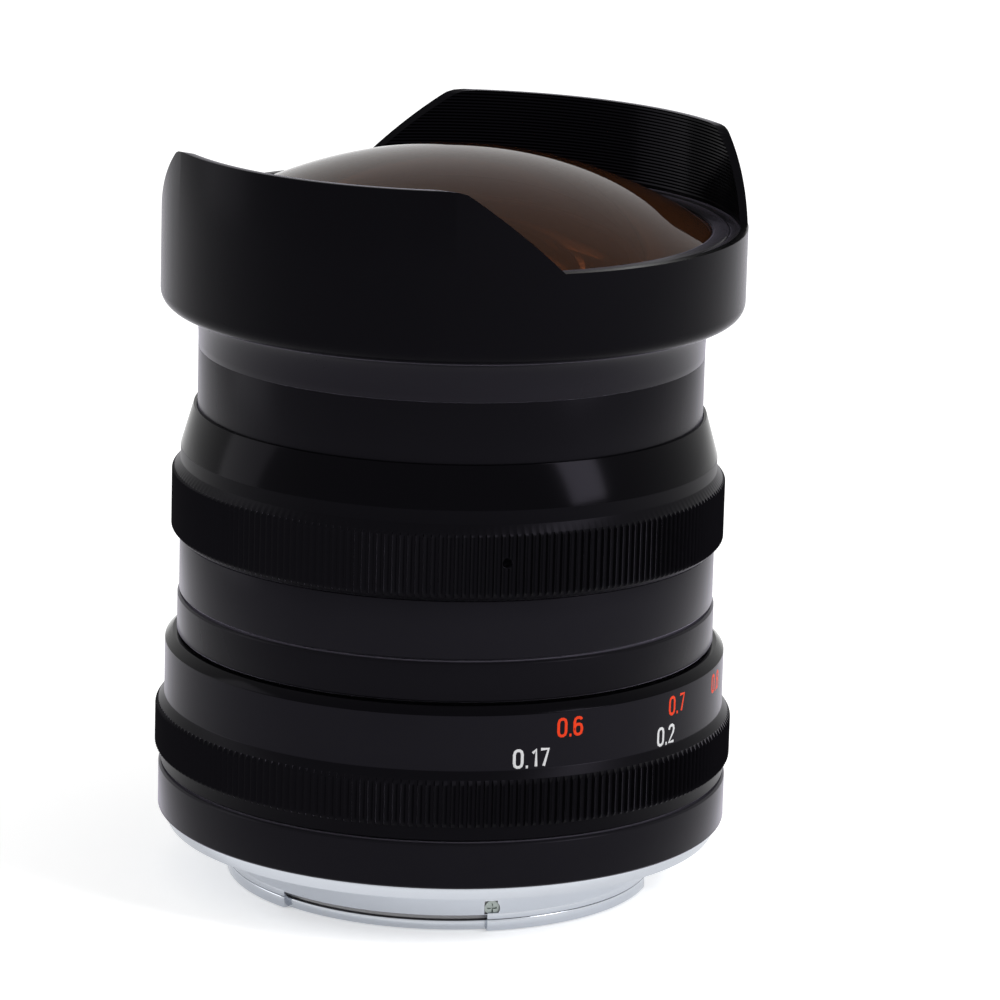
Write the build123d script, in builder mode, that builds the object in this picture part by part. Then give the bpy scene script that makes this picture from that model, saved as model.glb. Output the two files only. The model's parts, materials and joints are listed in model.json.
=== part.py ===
from build123d import *
import os
from math import atan2, copysign, cos, degrees, hypot, radians, sin, sqrt

os.makedirs("parts", exist_ok=True)

# A manual fisheye lens. Millimetres, +Z along the optical axis towards the front glass, origin at the
# centre of the bayonet's rear end. +Y is the top of the lens, where the index marks stand.

# Fits and small sizes shared by the whole lens
seat_gap = 0.02
running_gap = 0.05
face_gap = 0.2
edge_break = 0.25
overrun = 1.0
slot_margin = 0.5

# Section of one fine rib: each corner's share of the pitch, and 1 on the tip or 0 in the groove
rib_corner_shares = ((0.0, 1), (0.42, 1), (0.56, 0), (0.86, 0))

# Directions are degrees from +X, counter-clockwise as seen from the front
half_turn = 180.0

# Bayonet mount
mount_depth = 6.7
throat_radius = 23.6
core_radius = 25.9
lug_radius = 27.4
lug_height = 1.42
lug_groove = 0.1
lug_count = 3
lug_span = 61.7
lug_gap_angle = -72.55
lug_gap_radius = 26.6
lug_gap_wall = 1.2
lug_gap_groove = 0.88
flange_radius = 35.3
flange_thickness = 1.6
lock_hole_radius = 1.25
lock_hole_depth = 1.2
lock_hole_angle = 150.0
side_screw_angle = -42.0
side_screw_height = 2.9
side_screw_head_radius = 0.95
side_screw_head_height = 0.45
side_screw_shank_radius = 0.55
side_screw_recess = 0.75

# Screws of the mount, four round the flange
mount_screw_count = 4
mount_screw_circle = 32.2
mount_screw_head_radius = 1.55
mount_screw_head_height = 0.85
mount_screw_shank_radius = 0.8
mount_screw_bite = 2.0
mount_screw_turn = 25.0

# Shim and base ring
shim_thickness = 0.1
shim_wall = 6.0
base_radius = 36.45
base_height = 5.85
base_web = 2.6
base_wall = 1.0

# Barrels under the rings, from the outside in
index_radius = 34.3
index_height = 5.05
index_wall = 1.08
guide_wall = 1.6
guide_foot_height = 3.0
guide_foot_inset = 1.4
helicoid_wall = 1.95
helicoid_height = 14.0
helicoid_lift = 1.55
moving_wall = 2.05

# Focus ring
focus_height = 17.0
focus_lip_radius = 36.2
focus_lip_height = 1.9
focus_rib_radius = 36.94
focus_rib_height = 5.6
focus_rib_depth = 0.42
focus_rib_count = 225
focus_scale_radius = 35.8
focus_slope_height = 1.25
focus_crown_radius = 34.8
focus_crown_height = 1.0

# Focus travel, from far to near
focus_throw = 128.5
focus_travel = 1.5

# Keys that turn the helicoid with the focus ring
drive_key_angle = 20.0
drive_key_width = 4.0
drive_key_height = 3.0
drive_key_sink = 0.95
drive_key_reach = 0.95

# Straight keys that keep the moving barrel from turning
guide_key_width = 4.0
guide_key_height = 2.6
guide_key_depth = 1.25
guide_key_seat = 2.8

# Small screws of the barrels
small_head_radius = 0.95
small_head_height = 0.6
small_shank_radius = 0.5
small_screw_bite = 2.4
grub_radius = 0.6
grub_angles = (60.0, 180.0)
grub_height_share = 0.5
cross_width_share = 0.28
cross_length_share = 1.3
cross_depth_share = 0.6

# Front sleeve, which carries the aperture ring and slides out on the moving barrel
sleeve_radius = 34.1
sleeve_height = 7.4
sleeve_gap = 0.25
sleeve_skirt = 3.55
sleeve_skirt_wall = 1.35
sleeve_plate = 1.9
sleeve_plate_reach = 1.0
ledge_height = 2.0
ledge_width = 1.7

# Aperture ring
aperture_height = 16.55
aperture_rib_radius = 35.2
aperture_rib_height = 7.6
aperture_rib_depth = 0.36
aperture_rib_count = 230
aperture_foot_radius = 34.3
aperture_foot_height = 0.9
aperture_round = 0.35
aperture_step_height = 1.0
aperture_collar_radius = 34.1
aperture_collar_height = 1.7
aperture_lip_radius = 32.55
aperture_throw = 35.0
aperture_pin_angle = -44.24
aperture_pin_lift = 4.83
aperture_pin_radius = 0.5
aperture_hole_radius = 0.66
aperture_hole_depth = 0.95

# Click stop under the aperture ring
click_angle = 120.0
click_circle = 33.1
click_ball_radius = 0.5
click_ball_rise = 0.45
click_groove_depth = 0.6
click_bore_depth = 3.3
click_spring_turns = 5
click_spring_wire = 0.09

# Front barrel and hood
barrel_radius = 32.07
barrel_wall = 1.67
barrel_height = 24.4
barrel_flange_height = 1.65
barrel_flange_inner = 27.6
barrel_screw_count = 4
spigot_height = 2.25
spigot_wall = 0.9
hood_radius = 36.93
hood_wall = 1.0
hood_neck_height = 5.35
hood_cove_radius = 34.1
hood_cove_start = 0.85
hood_round = 2.0
hood_floor_thickness = 2.0
hood_floor_rise = 0.9
hood_floor_inner = 26.0
hood_body_height = 11.38
hood_petal_height = 10.12
hood_cut_bottom = 21.26
hood_cut_top = 30.2
hood_groove_count = 24
hood_groove_depth = 0.13
hood_screw_count = 4
hood_screw_circle = 28.0

# Front glass, its cell and the ring that holds it
cell_floor_thickness = 2.1
cell_wall = 2.6
glass_1_curve = 60.0
glass_1_hollow_curve = 25.5
glass_1_hollow_radius = 22.5
glass_1_middle = 3.4
glass_1_edge = 6.9
ring_width = 3.45
ring_thickness = 2.5
ring_chamfer = 0.25
seal_height = 0.5
seal_width = 1.6
hood_rim_step = 0.48

# Lens elements behind the front glass, each a row of shares: front vertex, front curve, back vertex,
# back curve, edge radius and clear radius of the back. Heights are counted from the room's lower end,
# and everything is a share of the room's height. A curve is positive where it bulges to the front.
front_glass_shares = {
    "glass_2": (1.131, 1.462, 1.062, 0.558, 0.846, 0.508),
    "glass_3": (0.650, 2.308, 0.596, 0.769, 0.654, 0.423),
    "glass_4": (0.381, 0.923, 0.173, -2.308, 0.462, 0.462),
    "glass_5": (0.173, -2.308, 0.096, 1.538, 0.462, 0.462),
}
rear_glass_shares = {
    "glass_6": (0.980, 0.549, 0.855, -0.998, 0.274, 0.274),
    "glass_7": (0.805, 1.496, 0.691, -0.748, 0.287, 0.287),
    "glass_8": (0.691, -0.748, 0.651, 1.122, 0.287, 0.287),
    "glass_9": (0.541, 0.748, 0.392, -1.122, 0.324, 0.324),
    "glass_10": (0.392, -1.122, 0.352, 1.496, 0.324, 0.324),
    "glass_11": (0.212, -1.746, 0.117, -0.873, 0.399, 0.399),
}
glass_gap = 0.05
lens_lip = 1.2
tube_wall = 2.0
rear_cell_flange = 2.4
rear_top_radius = 18.6
rear_ring_sink = 1.0

# Light baffle in the throat
baffle_height = 4.7
baffle_thickness = 0.8
baffle_window_width = 32.0
baffle_window_height = 22.0
baffle_window_round = 2.0
baffle_gap = 0.8

# Iris
iris_blade_count = 8
iris_open_radius = 7.6
iris_body_radius = 12.9
iris_body_span = 135.0
iris_pivot_circle = 15.0
iris_pivot_radius = 0.45
iris_boss_radius = 1.15
iris_lever = 2.4
iris_lever_angle = -101.35
iris_swing = 22.7
iris_drive_radius = 0.4
iris_arm_radius = 0.9
iris_blade_thickness = 0.1
iris_blade_gap = 0.04
iris_floor = 0.8
iris_cup_wall = 0.9
iris_cam_inner = 13.4
iris_cam_radius = 17.65
iris_cam_height = 1.75
iris_ring_inner = 15.6
iris_ring_height = 0.65
iris_slot_steps = 12

# Heights of the stack, from the bayonet forwards
flange_top = mount_depth + flange_thickness
base_low = flange_top + shim_thickness
base_top = base_low + base_height
foot_low = base_low + base_web
foot_top = foot_low + guide_foot_height
focus_low = base_top + face_gap
focus_top = focus_low + focus_height
index_low = focus_top + face_gap
index_top = index_low + index_height
sleeve_low = index_top + sleeve_gap
sleeve_top = sleeve_low + sleeve_height
aperture_low = sleeve_top + face_gap
aperture_top = aperture_low + aperture_height
barrel_top = sleeve_top + barrel_height
hood_under = barrel_top + hood_neck_height
floor_top = hood_under + hood_floor_rise
floor_low = floor_top - hood_floor_thickness
valley_top = hood_under + hood_body_height
petal_top = valley_top + hood_petal_height

# Radii under the rings
guide_outer = index_radius - index_wall - seat_gap
guide_inner = guide_outer - guide_wall
foot_outer = base_radius - base_wall - seat_gap
foot_inner = guide_inner - guide_foot_inset
helicoid_outer = guide_inner - running_gap
helicoid_inner = helicoid_outer - helicoid_wall
moving_outer = helicoid_inner - running_gap
moving_inner = moving_outer - moving_wall
focus_bore = guide_outer + running_gap
skirt_outer = guide_inner - running_gap
skirt_inner = skirt_outer - sleeve_skirt_wall
ledge_inner = moving_inner - ledge_width
aperture_bore = barrel_radius + running_gap
barrel_inner = barrel_radius - barrel_wall

# Heights inside the moving barrel
moving_low = foot_low - focus_travel
moving_top = sleeve_top - sleeve_plate
ledge_top = moving_top - rear_cell_flange - running_gap
helicoid_low = focus_low + helicoid_lift
helicoid_top = helicoid_low + helicoid_height
rib_low = focus_low + focus_lip_height + edge_break
rib_top = rib_low + focus_rib_height
drive_key_middle = (rib_low + rib_top) / 2
guide_key_middle = foot_low + guide_foot_height / 2

# Iris stack, hung on the height of the pin that the aperture ring carries
pin_height = aperture_low + aperture_pin_lift
cam_low = pin_height - iris_cam_height / 2
cam_top = cam_low + iris_cam_height
blade_pitch = iris_blade_thickness + iris_blade_gap
blade_low = cam_low - running_gap - iris_blade_count * blade_pitch
iris_floor_top = blade_low - iris_blade_gap
iris_low = iris_floor_top - iris_floor
iris_ring_low = cam_top + running_gap
iris_top = iris_ring_low + iris_ring_height + running_gap
iris_cup_inner = iris_cam_radius + running_gap
iris_cup_outer = iris_cup_inner + iris_cup_wall

# Rooms for the two groups of glass
cell_outer = hood_radius - hood_wall - seat_gap
cell_floor = floor_top + cell_floor_thickness
front_room = cell_floor - iris_top
rear_low = baffle_height + baffle_thickness + baffle_gap
rear_room = iris_low - rear_low
glass_1_radius = cell_outer - cell_wall - glass_gap
ring_top = valley_top - hood_rim_step
ring_low = ring_top - ring_thickness
ring_inner = cell_outer - ring_width
seal_low = ring_low - seal_height
glass_1_rim = cell_floor + glass_1_edge


def turn(corners, mode=Mode.ADD, start=0, span=360):
    """Turn an outline of (radius, height) corners about the optical axis, all round or over a span."""
    direction = (cos(radians(start)), sin(radians(start)), 0)
    normal = (sin(radians(start)), -cos(radians(start)), 0)
    with BuildSketch(Plane(origin=(0, 0, 0), x_dir=direction, z_dir=normal)) as section:
        with BuildLine():
            Polyline(*corners, close=True)
        make_face()
    revolve(section.sketch, axis=Axis.Z, revolution_arc=span, mode=mode)


def box_of(inner, outer, low, high):
    """Corners of a plain rectangular section."""
    return [(inner, low), (outer, low), (outer, high), (inner, high)]


def outward(angle, height):
    """Plane on the axis at a height, facing out along an angle."""
    a = radians(angle)
    return Plane(origin=(0, 0, height), x_dir=(-sin(a), cos(a), 0), z_dir=(cos(a), sin(a), 0))


def upward(angle, radius, height, sense=1):
    """Plane at a place beside the axis, facing forwards, or backwards with sense -1."""
    a = radians(angle)
    place = (radius * cos(a), radius * sin(a), height)
    return Plane(origin=place, x_dir=(cos(a), sin(a), 0), z_dir=(0, 0, sense))


def peg(plane, radius, start, end, mode=Mode.ADD):
    """Round peg or hole along a plane's normal, from one distance to another."""
    with BuildSketch(plane.offset(start)) as disc:
        Circle(radius)
    extrude(disc.sketch, amount=end - start, mode=mode)


def screw(plane, head_radius, head_height, shank_radius, length):
    """Cross-head screw with the underside of its head on the plane and its shank behind it."""
    peg(plane, head_radius, 0, head_height)
    peg(plane, shank_radius, -length, 0)
    recess = head_height * cross_depth_share
    with BuildSketch(plane.offset(head_height - recess)) as cross:
        long_side = head_radius * cross_length_share
        short_side = head_radius * cross_width_share
        Rectangle(long_side, short_side)
        Rectangle(short_side, long_side)
    extrude(cross.sketch, amount=head_height, mode=Mode.SUBTRACT)


def screw_hole(plane, head_radius, shank_radius, length, clear):
    """Hole for such a screw, with a seat for its head that runs out to a clear height."""
    peg(plane, shank_radius + seat_gap, -length, overrun, mode=Mode.SUBTRACT)
    peg(plane, head_radius + seat_gap, 0, clear, mode=Mode.SUBTRACT)


def block(plane, width, height, start, end, mode=Mode.ADD):
    """Square-edged key or slot along a plane's normal, its width round the axis."""
    with BuildSketch(plane.offset(start)) as face:
        Rectangle(width, height)
    extrude(face.sketch, amount=end - start, mode=mode)


def cut_ribs(count, tip, depth, low, high):
    """Cut fine straight grooves all round between two heights, leaving ribs of a trapezoid section."""
    pitch = 360 / count
    corners = []
    for rib in range(count):
        for place, high_side in rib_corner_shares:
            a = radians((rib + place) * pitch)
            r = tip if high_side else tip - depth
            corners.append((r * cos(a), r * sin(a)))
    with BuildSketch(Plane.XY.offset(low)) as grooves:
        Circle(tip + overrun)
        with BuildLine():
            Polyline(*corners, close=True)
        make_face(mode=Mode.SUBTRACT)
    extrude(grooves.sketch, amount=high - low, mode=Mode.SUBTRACT)


def sag(curve, r):
    """Height lost from a sphere's vertex at a distance from the axis, negative where it is hollow."""
    size = abs(curve)
    return copysign(size - sqrt(size**2 - r**2), curve)


def lens(front, front_curve, back, back_curve, edge, clear):
    """One lens element between two spherical faces, with a flat rim where the back is narrower."""
    half_share = 0.5
    back_edge = back - sag(back_curve, clear)
    front_edge = front - sag(front_curve, edge)
    back_middle = (clear * half_share, back - sag(back_curve, clear * half_share))
    front_middle = (edge * half_share, front - sag(front_curve, edge * half_share))
    with BuildSketch(Plane.XZ) as section:
        with BuildLine():
            ThreePointArc((0, back), back_middle, (clear, back_edge))
            if clear < edge:
                Line((clear, back_edge), (edge, back_edge))
            Line((edge, back_edge), (edge, front_edge))
            ThreePointArc((edge, front_edge), front_middle, (0, front))
            Line((0, front), (0, back))
        make_face()
    revolve(section.sketch, axis=Axis.Z)


def placed(shares, low, room):
    """A lens element's row of shares as real sizes: heights from the room's end, and plain lengths."""
    front, front_curve, back, back_curve, edge, clear = (share * room for share in shares)
    return low + front, front_curve, low + back, back_curve, edge, clear


def finish(piece, label):
    """Name a finished piece and write it."""
    piece.part.label = label
    export_step(piece.part, f"parts/{label}.step")


front_glass = {name: placed(row, iris_top, front_room) for name, row in front_glass_shares.items()}
rear_glass = {name: placed(row, rear_low, rear_room) for name, row in rear_glass_shares.items()}


def front_face(row, r):
    """Height of an element's front face at a distance from the axis."""
    return row[0] - sag(row[1], r)


def back_face(row, r):
    """Height of an element's back face at a distance from the axis."""
    return row[2] - sag(row[3], r)


mount_screw_angles = [mount_screw_turn + 360 / mount_screw_count * i for i in range(mount_screw_count)]
mount_screw_length = flange_top - mount_depth - mount_screw_head_height + shim_thickness + base_web
mount_screw_length += mount_screw_bite
mount_screw_seat = mount_depth + mount_screw_head_height
guide_key_angles = [0.0, half_turn]
drive_key_angles = [drive_key_angle, drive_key_angle + half_turn]

# Bayonet mount
with BuildPart() as bayonet_mount:
    turn(box_of(throat_radius, core_radius, 0, flange_top))
    turn(box_of(core_radius, flange_radius, mount_depth, flange_top))
    turn(box_of(core_radius, lug_gap_radius, 0, lug_gap_wall))
    turn(box_of(core_radius, lug_radius, lug_gap_wall + lug_gap_groove, mount_depth))
    lug_pitch = 360 / lug_count
    for lug in range(lug_count):
        lug_start = lug_gap_angle + lug_pitch * (lug + 0.5) - lug_span / 2
        turn(box_of(core_radius, lug_radius, 0, lug_height), start=lug_start, span=lug_span)
        turn(box_of(core_radius, lug_radius, lug_height + lug_groove, lug_gap_wall + lug_gap_groove),
             start=lug_start, span=lug_span)
    for angle in mount_screw_angles:
        seat = upward(angle, mount_screw_circle, mount_screw_seat, -1)
        screw_hole(seat, mount_screw_head_radius, mount_screw_shank_radius, mount_screw_length,
                   mount_screw_head_height + overrun)
    lock_plane = upward(lock_hole_angle, mount_screw_circle, mount_depth)
    peg(lock_plane, lock_hole_radius, 0, lock_hole_depth, mode=Mode.SUBTRACT)
    side_plane = outward(side_screw_angle, side_screw_height)
    side_seat = side_plane.offset(lug_radius - side_screw_recess)
    screw_hole(side_seat, side_screw_head_radius, side_screw_shank_radius,
               lug_radius - side_screw_recess - throat_radius - edge_break, side_screw_recess + overrun)
finish(bayonet_mount, "bayonet_mount")

with BuildPart() as mount_screws:
    for angle in mount_screw_angles:
        seat = upward(angle, mount_screw_circle, mount_screw_seat, -1)
        screw(seat, mount_screw_head_radius, mount_screw_head_height, mount_screw_shank_radius,
              mount_screw_length)
finish(mount_screws, "mount_screws")

with BuildPart() as mount_side_screw:
    screw(side_seat, side_screw_head_radius, side_screw_head_height, side_screw_shank_radius,
          lug_radius - side_screw_recess - throat_radius - 2 * edge_break)
finish(mount_side_screw, "mount_side_screw")

# Shim between the flange and the base ring
with BuildPart() as mount_shim:
    shim_outer = flange_radius - edge_break
    turn(box_of(shim_outer - shim_wall, shim_outer, flange_top, base_low))
    for angle in mount_screw_angles:
        hole = upward(angle, mount_screw_circle, flange_top)
        peg(hole, mount_screw_shank_radius + seat_gap, -overrun, overrun, mode=Mode.SUBTRACT)
finish(mount_shim, "mount_shim")

# Base ring
with BuildPart() as base_ring:
    base_inner = foot_inner - face_gap
    turn([
        (base_inner, base_low),
        (base_radius - edge_break, base_low),
        (base_radius, base_low + edge_break),
        (base_radius, base_top - edge_break),
        (base_radius - edge_break, base_top),
        (base_radius - base_wall, base_top),
        (base_radius - base_wall, foot_low),
        (base_inner, foot_low),
    ])
    for angle in mount_screw_angles:
        hole = upward(angle, mount_screw_circle, base_low)
        peg(hole, mount_screw_shank_radius + seat_gap, -overrun, base_web + overrun, mode=Mode.SUBTRACT)
finish(base_ring, "base_ring")

# Guide barrel: the fixed tube under the focus ring
with BuildPart() as guide_barrel:
    turn([
        (foot_inner, foot_low),
        (foot_outer, foot_low),
        (foot_outer, foot_top),
        (guide_outer, foot_top),
        (guide_outer, index_top - edge_break),
        (guide_inner, index_top - edge_break),
        (guide_inner, foot_top),
        (foot_inner, foot_top),
    ])
    for angle in mount_screw_angles:
        hole = upward(angle, mount_screw_circle, foot_low)
        peg(hole, mount_screw_shank_radius + seat_gap, -overrun, mount_screw_bite, mode=Mode.SUBTRACT)
    key_seat_end = foot_inner + guide_key_seat
    for angle in guide_key_angles:
        key_plane = outward(angle, guide_key_middle)
        block(key_plane, guide_key_width + 2 * seat_gap, guide_foot_height + seat_gap,
              foot_inner - overrun, key_seat_end + seat_gap, mode=Mode.SUBTRACT)
        key_screw_seat = key_plane.offset(foot_outer - small_head_height - seat_gap)
        screw_hole(key_screw_seat, small_head_radius, small_shank_radius, foot_outer - foot_inner,
                   small_head_height + overrun)
    slot_half = degrees(atan2(drive_key_width / 2, guide_inner)) + slot_margin
    slot_height = drive_key_height + 2 * running_gap
    slot_low = drive_key_middle - slot_height / 2
    for angle in drive_key_angles:
        turn(box_of(guide_inner - overrun, guide_outer + overrun, slot_low, slot_low + slot_height),
             mode=Mode.SUBTRACT, start=angle - slot_half, span=focus_throw + 2 * slot_half)
    grub_height = index_low + index_height * grub_height_share
    for angle in grub_angles:
        peg(outward(angle, grub_height), grub_radius + seat_gap, guide_inner - overrun,
            guide_outer + overrun, mode=Mode.SUBTRACT)
finish(guide_barrel, "guide_barrel")

with BuildPart() as guide_keys:
    for angle in guide_key_angles:
        key_plane = outward(angle, guide_key_middle)
        block(key_plane, guide_key_width, guide_key_height, moving_outer - guide_key_depth, key_seat_end)
        peg(key_plane, small_shank_radius + seat_gap, foot_inner, foot_outer, mode=Mode.SUBTRACT)
finish(guide_keys, "guide_keys")

with BuildPart() as guide_key_screws:
    for angle in guide_key_angles:
        key_screw_seat = outward(angle, guide_key_middle).offset(foot_outer - small_head_height - seat_gap)
        screw(key_screw_seat, small_head_radius, small_head_height, small_shank_radius,
              foot_outer - small_head_height - seat_gap - foot_inner - seat_gap)
finish(guide_key_screws, "guide_key_screws")

# Index sleeve, fixed in front of the focus ring
with BuildPart() as index_sleeve:
    turn([
        (guide_outer + seat_gap, index_low),
        (index_radius - edge_break, index_low),
        (index_radius, index_low + edge_break),
        (index_radius, index_top - edge_break),
        (index_radius - edge_break, index_top),
        (guide_outer + seat_gap, index_top),
    ])
    for angle in grub_angles:
        peg(outward(angle, grub_height), grub_radius + seat_gap, guide_outer, index_radius + overrun,
            mode=Mode.SUBTRACT)
finish(index_sleeve, "index_sleeve")

with BuildPart() as index_sleeve_screws:
    for angle in grub_angles:
        grub_plane = outward(angle, grub_height)
        peg(grub_plane, grub_radius, guide_inner + face_gap, index_radius - edge_break)
        block(grub_plane, grub_radius, grub_radius * cross_width_share,
              index_radius - 2 * edge_break, index_radius, mode=Mode.SUBTRACT)
finish(index_sleeve_screws, "index_sleeve_screws")

# Light baffle in the throat
with BuildPart() as rear_baffle:
    turn(box_of(0, throat_radius - seat_gap, baffle_height, baffle_height + baffle_thickness))
    with BuildSketch(Plane.XY.offset(baffle_height - overrun)) as window:
        RectangleRounded(baffle_window_width, baffle_window_height, baffle_window_round)
    extrude(window.sketch, amount=baffle_thickness + 2 * overrun, mode=Mode.SUBTRACT)
finish(rear_baffle, "rear_baffle")

# Focus ring
with BuildPart() as focus_ring:
    rib_break = focus_rib_depth
    turn([
        (focus_bore, focus_low),
        (focus_lip_radius - edge_break, focus_low),
        (focus_lip_radius, focus_low + edge_break),
        (focus_lip_radius, rib_low - edge_break),
        (focus_rib_radius - rib_break, rib_low - edge_break),
        (focus_rib_radius, rib_low + rib_break - edge_break),
        (focus_rib_radius, rib_top - rib_break),
        (focus_scale_radius, rib_top + focus_slope_height),
        (focus_scale_radius, focus_top - focus_crown_height),
        (focus_crown_radius, focus_top),
        (focus_bore, focus_top),
    ])
    cut_ribs(focus_rib_count, focus_rib_radius, focus_rib_depth, rib_low - edge_break,
             rib_top + focus_slope_height)
    groove_height = drive_key_middle + drive_key_height / 2 + seat_gap - focus_low + overrun
    groove_middle = focus_low - overrun + groove_height / 2
    for angle in drive_key_angles:
        block(outward(angle, groove_middle), drive_key_width + 2 * seat_gap, groove_height,
              guide_outer - overrun, focus_bore + drive_key_reach + seat_gap, mode=Mode.SUBTRACT)
finish(focus_ring, "focus_ring")

with BuildPart() as focus_helicoid:
    turn(box_of(helicoid_inner, helicoid_outer, helicoid_low, helicoid_top))
    for angle in drive_key_angles:
        key_plane = outward(angle, drive_key_middle)
        block(key_plane, drive_key_width + 2 * seat_gap, drive_key_height + 2 * seat_gap,
              helicoid_outer - drive_key_sink, helicoid_outer + overrun, mode=Mode.SUBTRACT)
        peg(key_plane, small_shank_radius + seat_gap, helicoid_inner - overrun, helicoid_outer,
            mode=Mode.SUBTRACT)
finish(focus_helicoid, "focus_helicoid")

key_foot = helicoid_outer - drive_key_sink
key_tip = focus_bore + drive_key_reach
with BuildPart() as focus_drive_keys:
    for angle in drive_key_angles:
        key_plane = outward(angle, drive_key_middle)
        block(key_plane, drive_key_width, drive_key_height, key_foot, key_tip)
        screw_hole(key_plane.offset(key_tip - small_head_height - seat_gap), small_head_radius,
                   small_shank_radius, key_tip - key_foot, small_head_height + overrun)
finish(focus_drive_keys, "focus_drive_keys")

with BuildPart() as focus_key_screws:
    for angle in drive_key_angles:
        key_seat = outward(angle, drive_key_middle).offset(key_tip - small_head_height - seat_gap)
        screw(key_seat, small_head_radius, small_head_height, small_shank_radius,
              key_tip - small_head_height - seat_gap - helicoid_inner - face_gap)
finish(focus_key_screws, "focus_key_screws")

# Moving barrel, pushed forwards by the helicoid
barrel_screw_angles = [360 / barrel_screw_count * (i + 0.5) for i in range(barrel_screw_count)]
barrel_screw_circle = (moving_outer + moving_inner) / 2
barrel_screw_length = barrel_flange_height + sleeve_plate + small_screw_bite
with BuildPart() as moving_barrel:
    turn([
        (moving_inner, moving_low),
        (moving_outer, moving_low),
        (moving_outer, moving_top),
        (moving_inner, moving_top),
        (moving_inner, ledge_top),
        (ledge_inner, ledge_top),
        (ledge_inner, ledge_top - ledge_height),
        (moving_inner, ledge_top - ledge_height - ledge_width),
    ])
    slot_top = guide_key_middle + guide_key_height / 2 + face_gap
    slot_length = slot_top - moving_low + overrun
    for angle in guide_key_angles:
        block(outward(angle, slot_top - slot_length / 2), guide_key_width + 2 * running_gap, slot_length,
              moving_outer - guide_key_depth - running_gap, moving_outer + overrun, mode=Mode.SUBTRACT)
    for angle in barrel_screw_angles:
        hole = upward(angle, barrel_screw_circle, moving_top)
        peg(hole, small_shank_radius + seat_gap, -small_screw_bite, overrun, mode=Mode.SUBTRACT)
finish(moving_barrel, "moving_barrel")

# Front sleeve
click_bore_radius = click_ball_radius + running_gap
with BuildPart() as front_sleeve:
    plate_inner = moving_inner - sleeve_plate_reach
    turn([
        (skirt_inner, sleeve_low - sleeve_skirt),
        (skirt_outer, sleeve_low - sleeve_skirt),
        (skirt_outer, sleeve_low),
        (sleeve_radius - edge_break, sleeve_low),
        (sleeve_radius, sleeve_low + edge_break),
        (sleeve_radius, sleeve_top),
        (plate_inner, sleeve_top),
        (plate_inner, moving_top),
        (skirt_inner, moving_top),
    ])
    for angle in barrel_screw_angles:
        hole = upward(angle, barrel_screw_circle, moving_top)
        peg(hole, small_shank_radius + seat_gap, -overrun, sleeve_plate + overrun, mode=Mode.SUBTRACT)
    click_plane = upward(click_angle, click_circle, sleeve_top)
    peg(click_plane, click_bore_radius, -click_bore_depth, overrun, mode=Mode.SUBTRACT)
finish(front_sleeve, "front_sleeve")

ball_height = sleeve_top + click_ball_rise - click_ball_radius
with BuildPart() as click_ball:
    ball_place = upward(click_angle, click_circle, ball_height).origin
    with Locations(ball_place):
        Sphere(click_ball_radius)
finish(click_ball, "click_ball")

spring_coil_radius = click_ball_radius - click_spring_wire - seat_gap
spring_low = sleeve_top - click_bore_depth + click_spring_wire
spring_top = ball_height - sqrt(click_ball_radius**2 - spring_coil_radius**2) - 2 * click_spring_wire
with BuildPart() as click_spring:
    spring_place = upward(click_angle, click_circle, spring_low).origin
    spring_height = spring_top - spring_low
    with BuildLine() as spring_line:
        Helix(spring_height / click_spring_turns, spring_height, spring_coil_radius, center=spring_place)
    with BuildSketch(Plane(spring_line.line @ 0, z_dir=spring_line.line % 0)) as wire:
        Circle(click_spring_wire)
    sweep(wire.sketch, path=spring_line.line)
finish(click_spring, "click_spring")

# Front barrel
pin_slot_half = degrees(atan2(aperture_pin_radius + running_gap, barrel_inner)) + slot_margin
pin_slot_low = pin_height - aperture_pin_radius - running_gap
pin_slot_height = 2 * (aperture_pin_radius + running_gap)
with BuildPart() as front_barrel:
    spigot_outer = barrel_inner + spigot_wall
    turn([
        (barrel_flange_inner, sleeve_top),
        (barrel_radius, sleeve_top),
        (barrel_radius, barrel_top),
        (spigot_outer, barrel_top),
        (spigot_outer, barrel_top + spigot_height),
        (barrel_inner, barrel_top + spigot_height),
        (barrel_inner, sleeve_top + barrel_flange_height),
        (barrel_flange_inner, sleeve_top + barrel_flange_height),
    ])
    for angle in barrel_screw_angles:
        hole = upward(angle, barrel_screw_circle, sleeve_top)
        peg(hole, small_shank_radius + seat_gap, -overrun, barrel_flange_height + overrun,
            mode=Mode.SUBTRACT)
    turn(box_of(barrel_inner - overrun, barrel_radius + overrun, pin_slot_low,
                pin_slot_low + pin_slot_height),
         mode=Mode.SUBTRACT, start=aperture_pin_angle - pin_slot_half,
         span=aperture_throw + 2 * pin_slot_half)
finish(front_barrel, "front_barrel")

with BuildPart() as front_barrel_screws:
    for angle in barrel_screw_angles:
        seat = upward(angle, barrel_screw_circle, sleeve_top + barrel_flange_height)
        screw(seat, small_head_radius, small_head_height, small_shank_radius, barrel_screw_length - face_gap)
finish(front_barrel_screws, "front_barrel_screws")

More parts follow.
